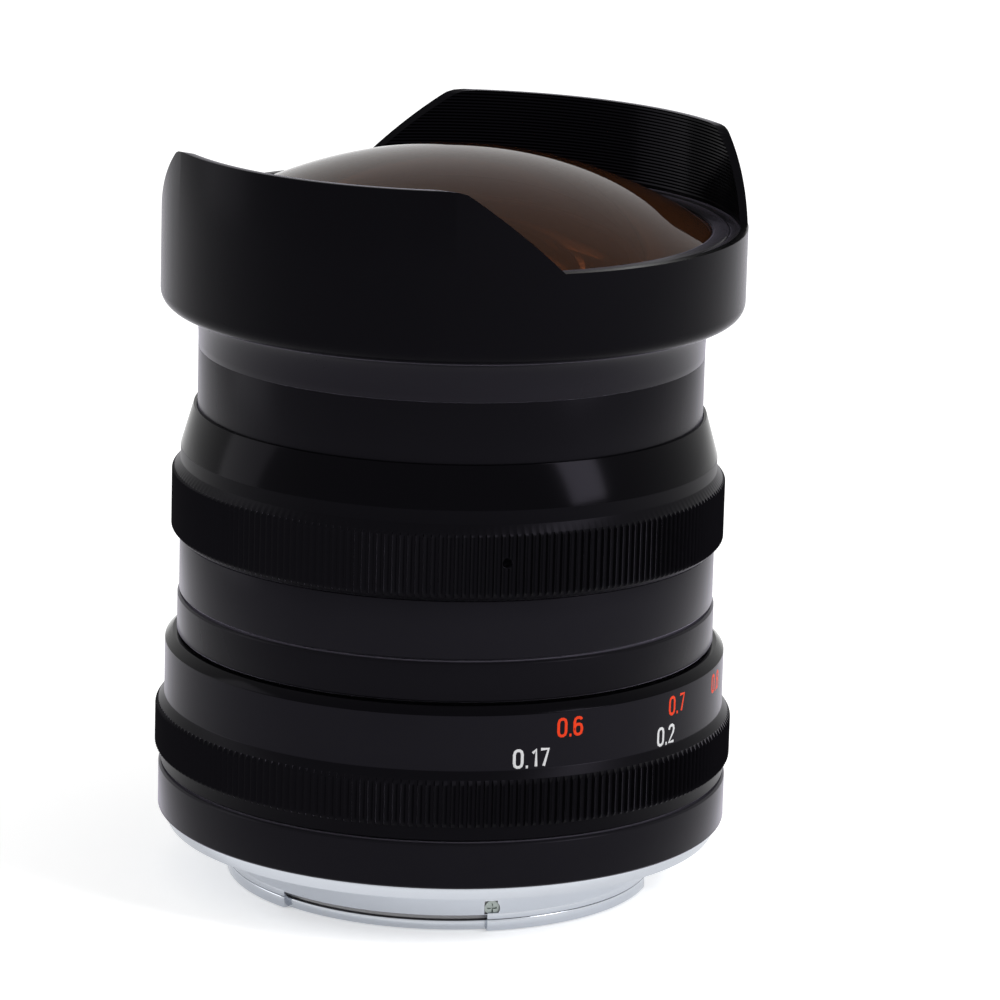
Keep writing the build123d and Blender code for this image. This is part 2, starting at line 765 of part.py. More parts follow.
# Hood: neck, cove, body and two petals with fine grooves inside
hood_inner = hood_radius - hood_wall
neck_inner = spigot_outer + seat_gap
hood_screw_angles = [360 / hood_screw_count * (i + 0.5) for i in range(hood_screw_count)]
hood_screw_length = hood_floor_thickness + cell_floor_thickness - edge_break
with BuildPart() as hood:
    groove_pitch = (petal_top - valley_top) / hood_groove_count
    with BuildSketch(Plane.XZ) as hood_section:
        with BuildLine():
            Line((neck_inner, barrel_top), (barrel_radius, barrel_top))
            Line((barrel_radius, barrel_top), (barrel_radius, barrel_top + hood_cove_start))
            Bezier((barrel_radius, barrel_top + hood_cove_start), (barrel_radius, hood_under),
                   (hood_cove_radius, hood_under))
            Line((hood_cove_radius, hood_under), (hood_radius - hood_round, hood_under))
            RadiusArc((hood_radius - hood_round, hood_under), (hood_radius, hood_under + hood_round),
                      -hood_round)
            Line((hood_radius, hood_under + hood_round), (hood_radius, petal_top))
            inside = [(hood_radius, petal_top), (hood_inner, petal_top)]
            for groove in range(hood_groove_count):
                tip_height = petal_top - groove * groove_pitch
                inside.append((hood_inner + hood_groove_depth, tip_height - groove_pitch / 2))
                inside.append((hood_inner, tip_height - groove_pitch))
            inside.append((hood_inner, floor_top))
            inside.append((hood_floor_inner, floor_top))
            inside.append((hood_floor_inner, floor_low))
            inside.append((barrel_inner, floor_low))
            inside.append((barrel_inner, barrel_top + spigot_height + seat_gap))
            inside.append((neck_inner, barrel_top + spigot_height + seat_gap))
            inside.append((neck_inner, barrel_top))
            Polyline(*inside)
        make_face()
    revolve(hood_section.sketch, axis=Axis.Z)
    cut_slope = (hood_cut_top - hood_cut_bottom) / hood_petal_height
    with BuildSketch(Plane.YZ.offset(-hood_radius - overrun)) as valley:
        with BuildLine():
            Polyline(
                (-hood_cut_bottom, valley_top),
                (hood_cut_bottom, valley_top),
                (hood_cut_top + cut_slope * overrun, petal_top + overrun),
                (-hood_cut_top - cut_slope * overrun, petal_top + overrun),
                close=True,
            )
        make_face()
    extrude(valley.sketch, amount=2 * (hood_radius + overrun), mode=Mode.SUBTRACT)
    for angle in hood_screw_angles:
        hole = upward(angle, hood_screw_circle, floor_low, -1)
        peg(hole, small_shank_radius + seat_gap, -hood_floor_thickness - overrun, overrun,
            mode=Mode.SUBTRACT)
finish(hood, "hood")

with BuildPart() as hood_screws:
    for angle in hood_screw_angles:
        seat = upward(angle, hood_screw_circle, floor_low, -1)
        screw(seat, small_head_radius, small_head_height, small_shank_radius, hood_screw_length)
finish(hood_screws, "hood_screws")

# Front cell, which holds the front glass and the four elements behind it
glass_2 = front_glass["glass_2"]
glass_3 = front_glass["glass_3"]
glass_4 = front_glass["glass_4"]
glass_5 = front_glass["glass_5"]
bore_1 = glass_1_radius + glass_gap
bore_2 = glass_2[4] + glass_gap
bore_3 = glass_3[4] + glass_gap
bore_4 = glass_4[4] + glass_gap
seat_2 = back_face(glass_2, glass_2[5])
seat_3 = back_face(glass_3, glass_3[5])
seat_4 = back_face(glass_5, glass_5[5])
with BuildPart() as front_cell:
    turn([
        (bore_1, cell_floor),
        (bore_1, seal_low),
        (cell_outer, seal_low),
        (cell_outer, floor_top),
        (bore_2 + tube_wall, floor_top),
        (bore_2 + tube_wall, seat_2 - tube_wall),
        (bore_3 + tube_wall, seat_2 - tube_wall),
        (bore_3 + tube_wall, seat_3 - tube_wall),
        (bore_4 + tube_wall, seat_3 - tube_wall),
        (bore_4 + tube_wall, iris_top),
        (bore_4 - lens_lip, iris_top),
        (bore_4 - lens_lip, seat_4),
        (bore_4, seat_4),
        (bore_4, seat_3),
        (bore_3, seat_3),
        (bore_3, seat_2),
        (bore_2, seat_2),
        (bore_2, cell_floor),
    ])
    for angle in hood_screw_angles:
        hole = upward(angle, hood_screw_circle, floor_top)
        peg(hole, small_shank_radius + seat_gap, -overrun, cell_floor_thickness - edge_break / 2,
            mode=Mode.SUBTRACT)
finish(front_cell, "front_cell")

glass_1_front = glass_1_rim + sag(glass_1_curve, glass_1_radius)
glass_1 = (glass_1_front, glass_1_curve, glass_1_front - glass_1_middle, glass_1_hollow_curve)
glass_1_seat = back_face(glass_1, glass_1_hollow_radius)
with BuildPart() as front_glass_element:
    with BuildSketch(Plane.XZ) as front_section:
        with BuildLine():
            hollow_middle = glass_1_hollow_radius / 2
            dome_middle = glass_1_radius / 2
            ThreePointArc((0, glass_1[2]), (hollow_middle, back_face(glass_1, hollow_middle)),
                          (glass_1_hollow_radius, glass_1_seat))
            Line((glass_1_hollow_radius, glass_1_seat), (bore_2 + tube_wall, cell_floor))
            Line((bore_2 + tube_wall, cell_floor), (glass_1_radius, cell_floor))
            Line((glass_1_radius, cell_floor), (glass_1_radius, glass_1_rim))
            ThreePointArc((glass_1_radius, glass_1_rim), (dome_middle, front_face(glass_1, dome_middle)),
                          (0, glass_1_front))
            Line((0, glass_1_front), (0, glass_1[2]))
        make_face()
    revolve(front_section.sketch, axis=Axis.Z)
finish(front_glass_element, "glass_1")

for name, row in list(front_glass.items()) + list(rear_glass.items()):
    with BuildPart() as element:
        lens(*row)
    finish(element, name)

with BuildPart() as front_retaining_ring:
    ring_outer = cell_outer
    lip_height = front_face(glass_1, ring_inner) + glass_gap
    ledge_radius = glass_1_radius + glass_gap
    turn([
        (ring_inner, lip_height),
        (ledge_radius, glass_1_rim + glass_gap),
        (ledge_radius, ring_low),
        (ring_outer, ring_low),
        (ring_outer, ring_top),
        (ring_inner + ring_chamfer, ring_top),
        (ring_inner, ring_top - ring_chamfer / 2),
    ])
finish(front_retaining_ring, "front_retaining_ring")

with BuildPart() as front_seal:
    seal_inner = bore_1 + seat_gap
    turn(box_of(seal_inner, seal_inner + seal_width, seal_low, ring_low))
finish(front_seal, "front_seal")

with BuildPart() as glass_2_ring:
    ring_2_inner = glass_2[4] - lens_lip
    turn([
        (glass_2[4], front_face(glass_2, glass_2[4]) + glass_gap),
        (glass_2[4], cell_floor),
        (ring_2_inner, cell_floor),
        (ring_2_inner, front_face(glass_2, ring_2_inner) + glass_gap),
    ])
finish(glass_2_ring, "glass_2_ring")

with BuildPart() as spacer_2_3:
    spacer_inner = glass_3[4] - lens_lip
    turn([
        (glass_3[4], front_face(glass_3, glass_3[4]) + glass_gap),
        (glass_3[4], seat_2),
        (spacer_inner, seat_2),
        (spacer_inner, front_face(glass_3, spacer_inner) + glass_gap),
    ])
finish(spacer_2_3, "spacer_2_3")

with BuildPart() as spacer_3_4:
    spacer_inner = glass_4[4] - lens_lip / 2
    turn([
        (glass_4[4], front_face(glass_4, glass_4[4]) + glass_gap),
        (glass_4[4], seat_3),
        (spacer_inner, seat_3),
        (spacer_inner, front_face(glass_4, spacer_inner) + glass_gap),
    ])
finish(spacer_3_4, "spacer_3_4")

# Rear cell with the six elements behind the iris
glass_6 = rear_glass["glass_6"]
glass_7 = rear_glass["glass_7"]
glass_8 = rear_glass["glass_8"]
glass_9 = rear_glass["glass_9"]
glass_10 = rear_glass["glass_10"]
glass_11 = rear_glass["glass_11"]
bore_6 = glass_6[4] + glass_gap
bore_7 = glass_7[4] + glass_gap
bore_9 = glass_9[4] + glass_gap
bore_11 = glass_11[4] + glass_gap
seat_6 = back_face(glass_6, bore_6 - lens_lip)
seat_7 = front_face(glass_7, bore_6 - lens_lip) + glass_gap
seat_9 = front_face(glass_9, bore_7) + glass_gap
seat_11 = front_face(glass_11, glass_11[4]) + glass_gap
with BuildPart() as rear_cell:
    turn([
        (bore_11, rear_low),
        (bore_11 + tube_wall, rear_low),
        (bore_11 + tube_wall, ledge_top),
        (moving_inner - seat_gap, ledge_top),
        (moving_inner - seat_gap, ledge_top + rear_cell_flange),
        (rear_top_radius, ledge_top + rear_cell_flange),
        (rear_top_radius, iris_low),
        (bore_6, iris_low),
        (bore_6, seat_6),
        (bore_6 - lens_lip, seat_6),
        (bore_6 - lens_lip, seat_7),
        (bore_7, seat_7),
        (bore_7, seat_9),
        (bore_9, seat_9),
        (bore_9, seat_11),
        (bore_11, seat_11),
    ])
finish(rear_cell, "rear_cell")

with BuildPart() as spacer_8_9:
    spacer_inner = glass_8[4] - lens_lip / 2
    turn([
        (glass_8[4], front_face(glass_9, glass_8[4]) + glass_gap),
        (glass_8[4], back_face(glass_8, glass_8[4]) - glass_gap),
        (spacer_inner, back_face(glass_8, glass_8[4]) - glass_gap),
        (spacer_inner, front_face(glass_9, spacer_inner) + glass_gap),
    ])
finish(spacer_8_9, "spacer_8_9")

with BuildPart() as spacer_10_11:
    spacer_inner = glass_10[4] - lens_lip / 2
    spacer_low = front_face(glass_11, glass_10[4]) + glass_gap
    turn(box_of(spacer_inner, glass_10[4], spacer_low, back_face(glass_10, glass_10[4]) - glass_gap))
finish(spacer_10_11, "spacer_10_11")

with BuildPart() as rear_retaining_ring:
    rear_ring_inner = glass_11[4] - lens_lip
    rear_ring_low = rear_low + rear_ring_sink
    turn([
        (glass_11[4], back_face(glass_11, glass_11[4]) - glass_gap),
        (glass_11[4], rear_ring_low),
        (rear_ring_inner, rear_ring_low),
        (rear_ring_inner, back_face(glass_11, rear_ring_inner) - glass_gap),
    ])
finish(rear_retaining_ring, "rear_retaining_ring")

# Iris cup, cam ring and the ring that keeps it in
blade_angles = [360 / iris_blade_count * i for i in range(iris_blade_count)]
cup_slot_half = degrees(atan2(aperture_pin_radius + running_gap, iris_cup_inner)) + slot_margin
with BuildPart() as iris_cup:
    turn([
        (iris_open_radius + edge_break, iris_low),
        (iris_cup_outer, iris_low),
        (iris_cup_outer, iris_top),
        (iris_cup_inner, iris_top),
        (iris_cup_inner, iris_floor_top),
        (iris_open_radius + edge_break, iris_floor_top),
    ])
    for angle in blade_angles:
        hole = upward(angle, iris_pivot_circle, iris_low)
        peg(hole, iris_pivot_radius + running_gap, -overrun, iris_floor + overrun, mode=Mode.SUBTRACT)
    turn(box_of(iris_cup_inner - overrun, iris_cup_outer + overrun, pin_slot_low,
                pin_slot_low + pin_slot_height),
         mode=Mode.SUBTRACT, start=aperture_pin_angle - cup_slot_half,
         span=aperture_throw + 2 * cup_slot_half)
finish(iris_cup, "iris_cup")


def drive_pin_place(swing):
    """Radius and angle of a blade's drive pin, for a blade pivoted at angle 0 and swung so far."""
    a = radians(iris_lever_angle + swing)
    x = iris_pivot_circle + iris_lever * cos(a)
    y = iris_lever * sin(a)
    return hypot(x, y), degrees(atan2(y, x))


cam_slot_half = iris_drive_radius + running_gap
cam_slot_end = degrees(cam_slot_half / iris_pivot_circle) + slot_margin
with BuildPart() as iris_cam_ring:
    turn(box_of(iris_cam_inner, iris_cam_radius, cam_low, cam_top))
    track = []
    for step in range(iris_slot_steps + 1):
        share = step / iris_slot_steps
        pin_radius, pin_angle = drive_pin_place(iris_swing * share)
        track.append((pin_radius, pin_angle - aperture_throw * share))
    track.insert(0, (track[0][0], track[0][1] + cam_slot_end))
    track.append((track[-1][0], track[-1][1] - cam_slot_end))
    for turned in blade_angles:
        inner_side = []
        outer_side = []
        for pin_radius, pin_angle in track:
            a = radians(pin_angle + turned)
            inner_side.append(((pin_radius - cam_slot_half) * cos(a), (pin_radius - cam_slot_half) * sin(a)))
            outer_side.append(((pin_radius + cam_slot_half) * cos(a), (pin_radius + cam_slot_half) * sin(a)))
        with BuildSketch(Plane.XY.offset(cam_low - overrun)) as slot:
            with BuildLine():
                Polyline(*inner_side, *reversed(outer_side), close=True)
            make_face()
        extrude(slot.sketch, amount=iris_cam_height + 2 * overrun, mode=Mode.SUBTRACT)
    peg(outward(aperture_pin_angle, pin_height), aperture_pin_radius + seat_gap,
        iris_cam_radius - lens_lip, iris_cam_radius + overrun, mode=Mode.SUBTRACT)
finish(iris_cam_ring, "iris_cam_ring")

with BuildPart() as iris_retaining_ring:
    turn(box_of(iris_ring_inner, iris_cup_inner - seat_gap, iris_ring_low, iris_ring_low + iris_ring_height))
finish(iris_retaining_ring, "iris_retaining_ring")

# Iris blades, one above another, each turned about its own pivot pin
for number, turned in enumerate(blade_angles):
    level = blade_low + number * blade_pitch
    blade_plane = Plane.XY.offset(level).rotated((0, 0, turned))
    lever_angle = radians(iris_lever_angle)
    drive_place = (iris_pivot_circle + iris_lever * cos(lever_angle), iris_lever * sin(lever_angle))
    middle = radians(iris_body_span / 2)
    end = radians(iris_body_span)
    with BuildPart() as blade:
        with BuildSketch(blade_plane):
            with BuildLine():
                ThreePointArc(
                    (iris_body_radius, 0),
                    (iris_body_radius * cos(middle), iris_body_radius * sin(middle)),
                    (iris_body_radius * cos(end), iris_body_radius * sin(end)),
                )
                Line((iris_body_radius * cos(end), iris_body_radius * sin(end)),
                     (iris_open_radius * cos(end), iris_open_radius * sin(end)))
                ThreePointArc(
                    (iris_open_radius * cos(end), iris_open_radius * sin(end)),
                    (iris_open_radius * cos(middle), iris_open_radius * sin(middle)),
                    (iris_open_radius, 0),
                )
                Line((iris_open_radius, 0), (iris_body_radius, 0))
            make_face()
            neck_length = iris_pivot_circle - iris_body_radius + iris_boss_radius
            with Locations((iris_pivot_circle - neck_length / 2, 0)):
                Rectangle(neck_length, 2 * iris_boss_radius)
            with Locations((iris_pivot_circle, 0)):
                Circle(iris_boss_radius)
            arm_middle = ((iris_pivot_circle + drive_place[0]) / 2, drive_place[1] / 2)
            with Locations(Location((*arm_middle, 0), (0, 0, iris_lever_angle))):
                Rectangle(iris_lever, 2 * iris_arm_radius)
            with Locations(drive_place):
                Circle(iris_arm_radius)
        extrude(amount=iris_blade_thickness)
        with BuildSketch(blade_plane):
            with Locations((iris_pivot_circle, 0)):
                Circle(iris_pivot_radius)
        extrude(amount=iris_low + running_gap - level)
        with BuildSketch(blade_plane):
            with Locations(drive_place):
                Circle(iris_drive_radius)
        extrude(amount=cam_top - running_gap - level)
    finish(blade, f"iris_blade_{number + 1}")

# Aperture ring and the pin that turns the cam ring
with BuildPart() as aperture_ring:
    foot_top_height = aperture_low + aperture_foot_height
    rib_crown = foot_top_height + aperture_rib_height
    collar_low = rib_crown + aperture_step_height
    collar_top = collar_low + aperture_collar_height
    turn([
        (aperture_bore, aperture_low),
        (aperture_foot_radius, aperture_low),
        (aperture_rib_radius, foot_top_height),
        (aperture_rib_radius, rib_crown - aperture_round),
        (aperture_rib_radius - aperture_round, rib_crown),
        (aperture_collar_radius, collar_low),
        (aperture_collar_radius, collar_top),
        (aperture_lip_radius, aperture_top),
        (aperture_bore, aperture_top),
    ])
    cut_ribs(aperture_rib_count, aperture_rib_radius, aperture_rib_depth, aperture_low, rib_crown)
    pin_plane = outward(aperture_pin_angle, pin_height)
    peg(pin_plane, aperture_pin_radius + seat_gap, barrel_radius, aperture_rib_radius, mode=Mode.SUBTRACT)
    peg(pin_plane, aperture_hole_radius, aperture_rib_radius - aperture_hole_depth,
        aperture_rib_radius + overrun, mode=Mode.SUBTRACT)
    ball_half = degrees(atan2(click_bore_radius, click_circle)) + slot_margin
    turn(box_of(click_circle - click_bore_radius, click_circle + click_bore_radius,
                aperture_low - overrun, aperture_low + click_groove_depth),
         mode=Mode.SUBTRACT, start=click_angle - aperture_throw - ball_half,
         span=aperture_throw + 2 * ball_half)
finish(aperture_ring, "aperture_ring")

with BuildPart() as aperture_pin:
    peg(pin_plane, aperture_pin_radius, iris_cam_radius - lens_lip + seat_gap,
        aperture_rib_radius - aperture_hole_depth)
finish(aperture_pin, "aperture_pin")

print("lens height", round(petal_top, 2), "flange to front", round(petal_top - mount_depth, 2))
print("front glass vertex", round(glass_1_front, 2), "iris from", round(iris_low, 2), "to", round(iris_top, 2))
print("ring bottom lip over glass", round(lip_height, 2), "ring top", round(ring_top, 2))
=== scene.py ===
"""Looks of the fisheye lens: turned and ribbed metal, coated glass, painted numbers, bayonet and studio."""

import json
import logging
from dataclasses import dataclass, field
from enum import Enum
from math import atan2, copysign, cos, hypot, pi, radians, sin, sqrt
from typing import ClassVar

import bmesh
import bpy
from mathutils import Euler, Matrix, Vector


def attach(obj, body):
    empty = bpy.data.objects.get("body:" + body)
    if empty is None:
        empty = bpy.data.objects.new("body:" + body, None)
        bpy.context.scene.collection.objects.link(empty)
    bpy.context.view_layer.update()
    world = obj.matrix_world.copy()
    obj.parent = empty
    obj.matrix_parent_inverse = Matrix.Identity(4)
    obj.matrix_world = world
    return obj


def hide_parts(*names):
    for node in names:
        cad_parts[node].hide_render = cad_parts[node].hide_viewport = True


logging.basicConfig(level=logging.INFO, format="%(message)s")
log = logging.getLogger("lens")

MM = 0.001
SHARP = 32.0
SHARP_RIBS = 25.0
SHARP_PAINT = 60.0
ROUND_BEND = 14.0
UPWARD = 0.05
NEAR = 1e-4
NEAR_AXIS = 1e-6
WELD = 1e-5
Corner = tuple[float, float]
Outline = list[Corner]
Colour = tuple[float, float, float, float]
Inputs = dict[object, object]
Material = bpy.types.Material
Mesh = bpy.types.Mesh
Shell = bmesh.types.BMesh

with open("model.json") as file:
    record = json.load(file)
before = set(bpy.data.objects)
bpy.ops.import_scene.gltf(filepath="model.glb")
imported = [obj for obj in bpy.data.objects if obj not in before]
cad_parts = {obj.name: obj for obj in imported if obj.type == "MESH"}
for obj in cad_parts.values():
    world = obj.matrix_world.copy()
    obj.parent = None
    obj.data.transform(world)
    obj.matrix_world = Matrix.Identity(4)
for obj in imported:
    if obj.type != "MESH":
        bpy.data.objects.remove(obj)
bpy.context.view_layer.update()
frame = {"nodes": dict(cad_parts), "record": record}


class Body(str, Enum):
    """CAD bodies that pieces ride on."""

    MOUNT = "mount_body"
    FOCUS = "focus_body"
    FRONT = "front_unit"
    APERTURE = "aperture_body"


class Slot(str, Enum):
    """Material slots of the record."""

    BLACK = "black_anodised"
    BRIGHT = "bright_mount"
    COATED = "coated_glass"
    GLASS = "glass"
    RUBBER = "rubber"
    BRASS = "brass"
    STEEL = "steel"
    BLADE = "blade_steel"
    MATT = "matte_black"


@dataclass(frozen=True)
class Signal:
    """A shader value that takes part in plain arithmetic, adding a Math node for each sign."""

    recipe: "Recipe"
    socket: bpy.types.NodeSocket

    def _math(self, operation: str, first: object, second: object) -> "Signal":
        """Add one Math node."""
        return self.recipe.add("ShaderNodeMath", {"operation": operation}, {0: first, 1: second})

    def __add__(self, other: object) -> "Signal":
        """Sum."""
        return self._math("ADD", self, other)

    __radd__ = __add__

    def __mul__(self, other: object) -> "Signal":
        """Product."""
        return self._math("MULTIPLY", self, other)

    def highest(self, other: object) -> "Signal":
        """The larger of two."""
        return self._math("MAXIMUM", self, other)


@dataclass(frozen=True)
class Waves:
    """A noise, by its waves to the metre, its detail and its stretch along each direction."""

    scale: float
    detail: float = 2.0
    stretch: tuple[float, float, float] = (1.0, 1.0, 1.0)


class Recipe:
    """The node tree of one material or of the world."""

    def __init__(self, tree: bpy.types.NodeTree) -> None:
        """Start from an empty tree."""
        self.tree = tree
        tree.nodes.clear()

    def add(self, kind: str, settings: dict[str, object] | None = None,
            inputs: Inputs | None = None, output: object = 0) -> Signal:
        """Add a node.

        Args:
            kind: Blender's name of the node type.
            settings: Properties, set before the inputs.
            inputs: Values or signals of its sockets.
            output: Which output the returned signal stands for.

        Returns:
            The chosen output as a signal.
        """
        node = self.tree.nodes.new(kind)
        for key, value in (settings or {}).items():
            setattr(node, key, value)
        for key, value in (inputs or {}).items():
            if isinstance(value, Signal):
                self.tree.links.new(value.socket, node.inputs[key])
            else:
                node.inputs[key].default_value = value
        return Signal(self, node.outputs[output] if node.outputs else None)

    def noise(self, waves: Waves) -> Signal:
        """Noise over the object's own coordinates, in metres."""
        place = self.add("ShaderNodeTexCoord", output="Object")
        vector = self.add("ShaderNodeMapping", {}, {"Vector": place, "Scale": waves.stretch})
        return self.add("ShaderNodeTexNoise", {},
                        {"Vector": vector, "Scale": waves.scale, "Detail": waves.detail})

    def blend(self, mask: Signal, low: Colour, high: Colour) -> Signal:
        """Colour between two, chosen by a mask."""
        return self.add("ShaderNodeMix", {"data_type": "RGBA"}, {0: mask, 6: low, 7: high}, output=2)

    def bump(self, height: Signal, depth_mm: float) -> Signal:
        """Normal of a relief so many millimetres deep."""
        return self.add("ShaderNodeBump", {}, {"Strength": 1.0, "Distance": depth_mm * MM, "Height": height})


def fresh(name: str) -> tuple[Material, Recipe]:
    """A new material and its empty recipe."""
    material = bpy.data.materials.new(name)
    material.use_nodes = True
    return material, Recipe(material.node_tree)


def shade(colour: Colour, share: float) -> Colour:
    """A colour made darker or lighter."""
    return tuple(min(1.0, c * share) for c in colour[:3]) + (1.0,)


@dataclass(frozen=True)
class Finish:
    """A named material that knows the inputs of its shader."""

    name: str

    def inputs(self, recipe: Recipe) -> Inputs:
        """The shader's inputs."""
        raise NotImplementedError

    def make(self) -> Material:
        """Build the material."""
        material, recipe = fresh(self.name)
        shader = recipe.add("ShaderNodeBsdfPrincipled", {}, self.inputs(recipe))
        recipe.add("ShaderNodeOutputMaterial", {}, {"Surface": shader})
        return material


@dataclass(frozen=True)
class TurnedBlack(Finish):
    """Black anodised aluminium, turned and bead-blasted: faint rings, fine grain and a bluish cast."""

    tone: float = 0.0024
    roughness: float = 0.25
    specular: float = 0.05
    sheen: float = 0.6
    sheen_roughness: float = 0.25
    grain_mm: float = 0.003
    ring_mm: float = 0.001
    cast: Colour = (0.84, 0.78, 1.0, 1.0)
    dark_shares: tuple[float, ...] = (0.85, 0.81, 1.05)
    light_shares: tuple[float, ...] = (1.15, 1.09, 1.42)
    spread: float = 0.06
    cloud: Waves = Waves(90.0, 3.0)
    grain: Waves = Waves(5200.0, 1.0)
    rings: Waves = Waves(2600.0, 1.0, (0.02, 0.02, 1.0))

    def inputs(self, recipe: Recipe) -> Inputs:
        """The shader's inputs."""
        cloud = recipe.noise(self.cloud)
        relief = recipe.noise(self.grain) * self.grain_mm + recipe.noise(self.rings) * self.ring_mm
        low = tuple(self.tone * share for share in self.dark_shares) + (1.0,)
        high = tuple(self.tone * share for share in self.light_shares) + (1.0,)
        return {
            "Base Color": recipe.blend(cloud, low, high),
            "Roughness": self.roughness - self.spread / 2 + cloud * self.spread,
            "Specular IOR Level": self.specular,
            "Specular Tint": self.cast,
            "Sheen Weight": self.sheen,
            "Sheen Roughness": self.sheen_roughness,
            "Sheen Tint": self.cast,
            "Normal": recipe.bump(relief, 1.0),
        }


@dataclass(frozen=True)
class TurnedBright(Finish):
    """Bright turned metal with fine rings round the axis and a few rub marks."""

    colour: Colour = (0.5, 0.525, 0.57, 1.0)
    roughness: float = 0.2
    ring_mm: float = 0.0016
    dull: float = 0.93
    smoother: float = 0.04
    spread: float = 0.09
    rings: Waves = Waves(1900.0, 2.0, (0.03, 0.03, 1.0))
    marks: Waves = Waves(160.0, 4.0)

    def inputs(self, recipe: Recipe) -> Inputs:
        """The shader's inputs."""
        marks = recipe.noise(self.marks)
        return {
            "Base Color": recipe.blend(marks, shade(self.colour, self.dull), self.colour),
            "Metallic": 1.0,
            "Roughness": self.roughness - self.smoother + marks * self.spread,
            "Normal": recipe.bump(recipe.noise(self.rings), self.ring_mm),
        }


@dataclass(frozen=True)
class PlainMetal(Finish):
    """Machined or blackened metal of the inner pieces, with a soft cloudy sheen."""

    colour: Colour
    roughness: float = 0.35
    dull: float = 0.8
    spread: float = 0.1
    grain_mm: float = 0.002
    cloud: Waves = Waves(420.0, 3.0)
    grain: Waves = Waves(3000.0, 1.0)

    def inputs(self, recipe: Recipe) -> Inputs:
        """The shader's inputs."""
        cloud = recipe.noise(self.cloud)
        return {
            "Base Color": recipe.blend(cloud, shade(self.colour, self.dull), self.colour),
            "Metallic": 1.0,
            "Roughness": self.roughness - self.spread / 2 + cloud * self.spread,
            "Normal": recipe.bump(recipe.noise(self.grain), self.grain_mm),
        }


@dataclass(frozen=True)
class Matt(Finish):
    """Matt paint or rubber with a fine grain."""

    colour: Colour
    roughness: float = 0.75
    specular: float = 0.3
    light: float = 1.2
    spread: float = 0.12
    grain_mm: float = 0.004
    cloud: Waves = Waves(700.0, 3.0)
    grain: Waves = Waves(4200.0)

    def inputs(self, recipe: Recipe) -> Inputs:
        """The shader's inputs."""
        cloud = recipe.noise(self.cloud)
        return {
            "Base Color": recipe.blend(cloud, self.colour, shade(self.colour, self.light)),
            "Roughness": self.roughness - self.spread / 2 + cloud * self.spread,
            "Specular IOR Level": self.specular,
            "Normal": recipe.bump(recipe.noise(self.grain), self.grain_mm),
        }


@dataclass(frozen=True)
class Glass(Finish):
    """Clear glass with a tinted antireflection coating and the faintest polish marks.

    The share is the part of the light that passes through. The rest meets a body of the clear colour.
    """

    tint: Colour
    clear: Colour
    index: float
    specular: float
    share: float = 1.0
    faint: float = 0.97
    polish: Waves = Waves(60.0, 3.0)

    def inputs(self, recipe: Recipe) -> Inputs:
        """The shader's inputs."""
        return {
            "Base Color": recipe.blend(recipe.noise(self.polish), shade(self.clear, self.faint), self.clear),
            "Roughness": 0.0,
            "IOR": self.index,
            "Transmission Weight": self.share,
            "Specular IOR Level": self.specular,
            "Specular Tint": self.tint,
        }


class Finishes:
    """Every finish of the lens, made once."""

    def __init__(self) -> None:
        """Build all materials."""
        self.satin = TurnedBlack("satin_black", tone=0.004).make()
        # A lighter copy of the black: painted light on the front sleeve in the shade of the aperture ring's
        # overhang, and on the focus ring's scale band.
        self.sleeve = TurnedBlack("sleeve_painted_light_black", tone=0.0052).make()
        self.barrel = TurnedBlack("barrel_black").make()
        self.hood = TurnedBlack("hood_black", tone=0.0018, roughness=0.26, specular=0.03,
                                sheen=0.25).make()
        # A lighter copy of the hood's black for the cove under the hood, where light falls on it: painted
        # light.
        self.cove = TurnedBlack("cove_painted_light_black", tone=0.003, roughness=0.28, specular=0.12,
                                sheen=0.8).make()
        # Glossier than the rest, which is real, and far darker in tone to stand in for the dark overhead that
        # upward faces mirror: painted shade.
        self.cone = TurnedBlack("cone_glossy_painted_shade_black", tone=0.0006, roughness=0.145, specular=0.04, sheen=0.0,
                                grain_mm=0.001).make()
        self.ribs = TurnedBlack("rib_black", tone=0.0018, roughness=0.32, specular=0.035, sheen=0.12,
                                ring_mm=0.0).make()
        # Near-black matt put on the aperture pin so that its hole reads dark: painted shade.
        self.slit = Matt("pin_painted_shade_black", (0.0015, 0.0016, 0.003, 1.0), roughness=0.5, specular=0.02).make()
        self.inner = Matt("inner_black", (0.004, 0.004, 0.005, 1.0), roughness=0.55, specular=0.25).make()
        self.matt = Matt("baffle_black", (0.008, 0.008, 0.009, 1.0)).make()
        self.rubber = Matt("seal_rubber", (0.012, 0.012, 0.012, 1.0), roughness=0.8).make()
        self.bright = TurnedBright("bright_mount").make()
        # Darker grey metal for the bayonet's groove and the walls of its holes: painted shade in these
        # recesses.
        self.groove = PlainMetal("groove_painted_shade_grey", (0.24, 0.24, 0.25, 1.0), roughness=0.4).make()
        self.screw = PlainMetal("side_screw_grey", (0.36, 0.4, 0.38, 1.0), roughness=0.42).make()
        self.steel = PlainMetal("screw_steel", (0.5, 0.51, 0.53, 1.0), roughness=0.3).make()
        self.blade = PlainMetal("blade_steel", (0.04, 0.04, 0.045, 1.0), roughness=0.45).make()
        self.brass = PlainMetal("helicoid_brass", (0.72, 0.52, 0.25, 1.0), roughness=0.3).make()
        self.front_glass = Glass("front_glass", (1.0, 0.6, 0.45, 1.0), (0.34, 0.12, 0.045, 1.0),
                                 index=1.15, specular=0.3, share=0.95).make()
        self.hollow_glass = Glass("front_glass_hollow", (1.0, 0.5, 0.08, 1.0), (0.55, 0.42, 0.36, 1.0),
                                  index=1.06, specular=0.4).make()
        self.glass = Glass("element_glass", (0.9, 0.75, 0.6, 1.0), (0.8, 0.78, 0.75, 1.0),
                           index=1.5, specular=0.25).make()
        self.white_paint = Matt("number_white", (0.42, 0.42, 0.43, 1.0), roughness=0.5).make()
        self.red_paint = Matt("number_red", (0.5, 0.028, 0.004, 1.0), roughness=0.5, specular=0.1).make()


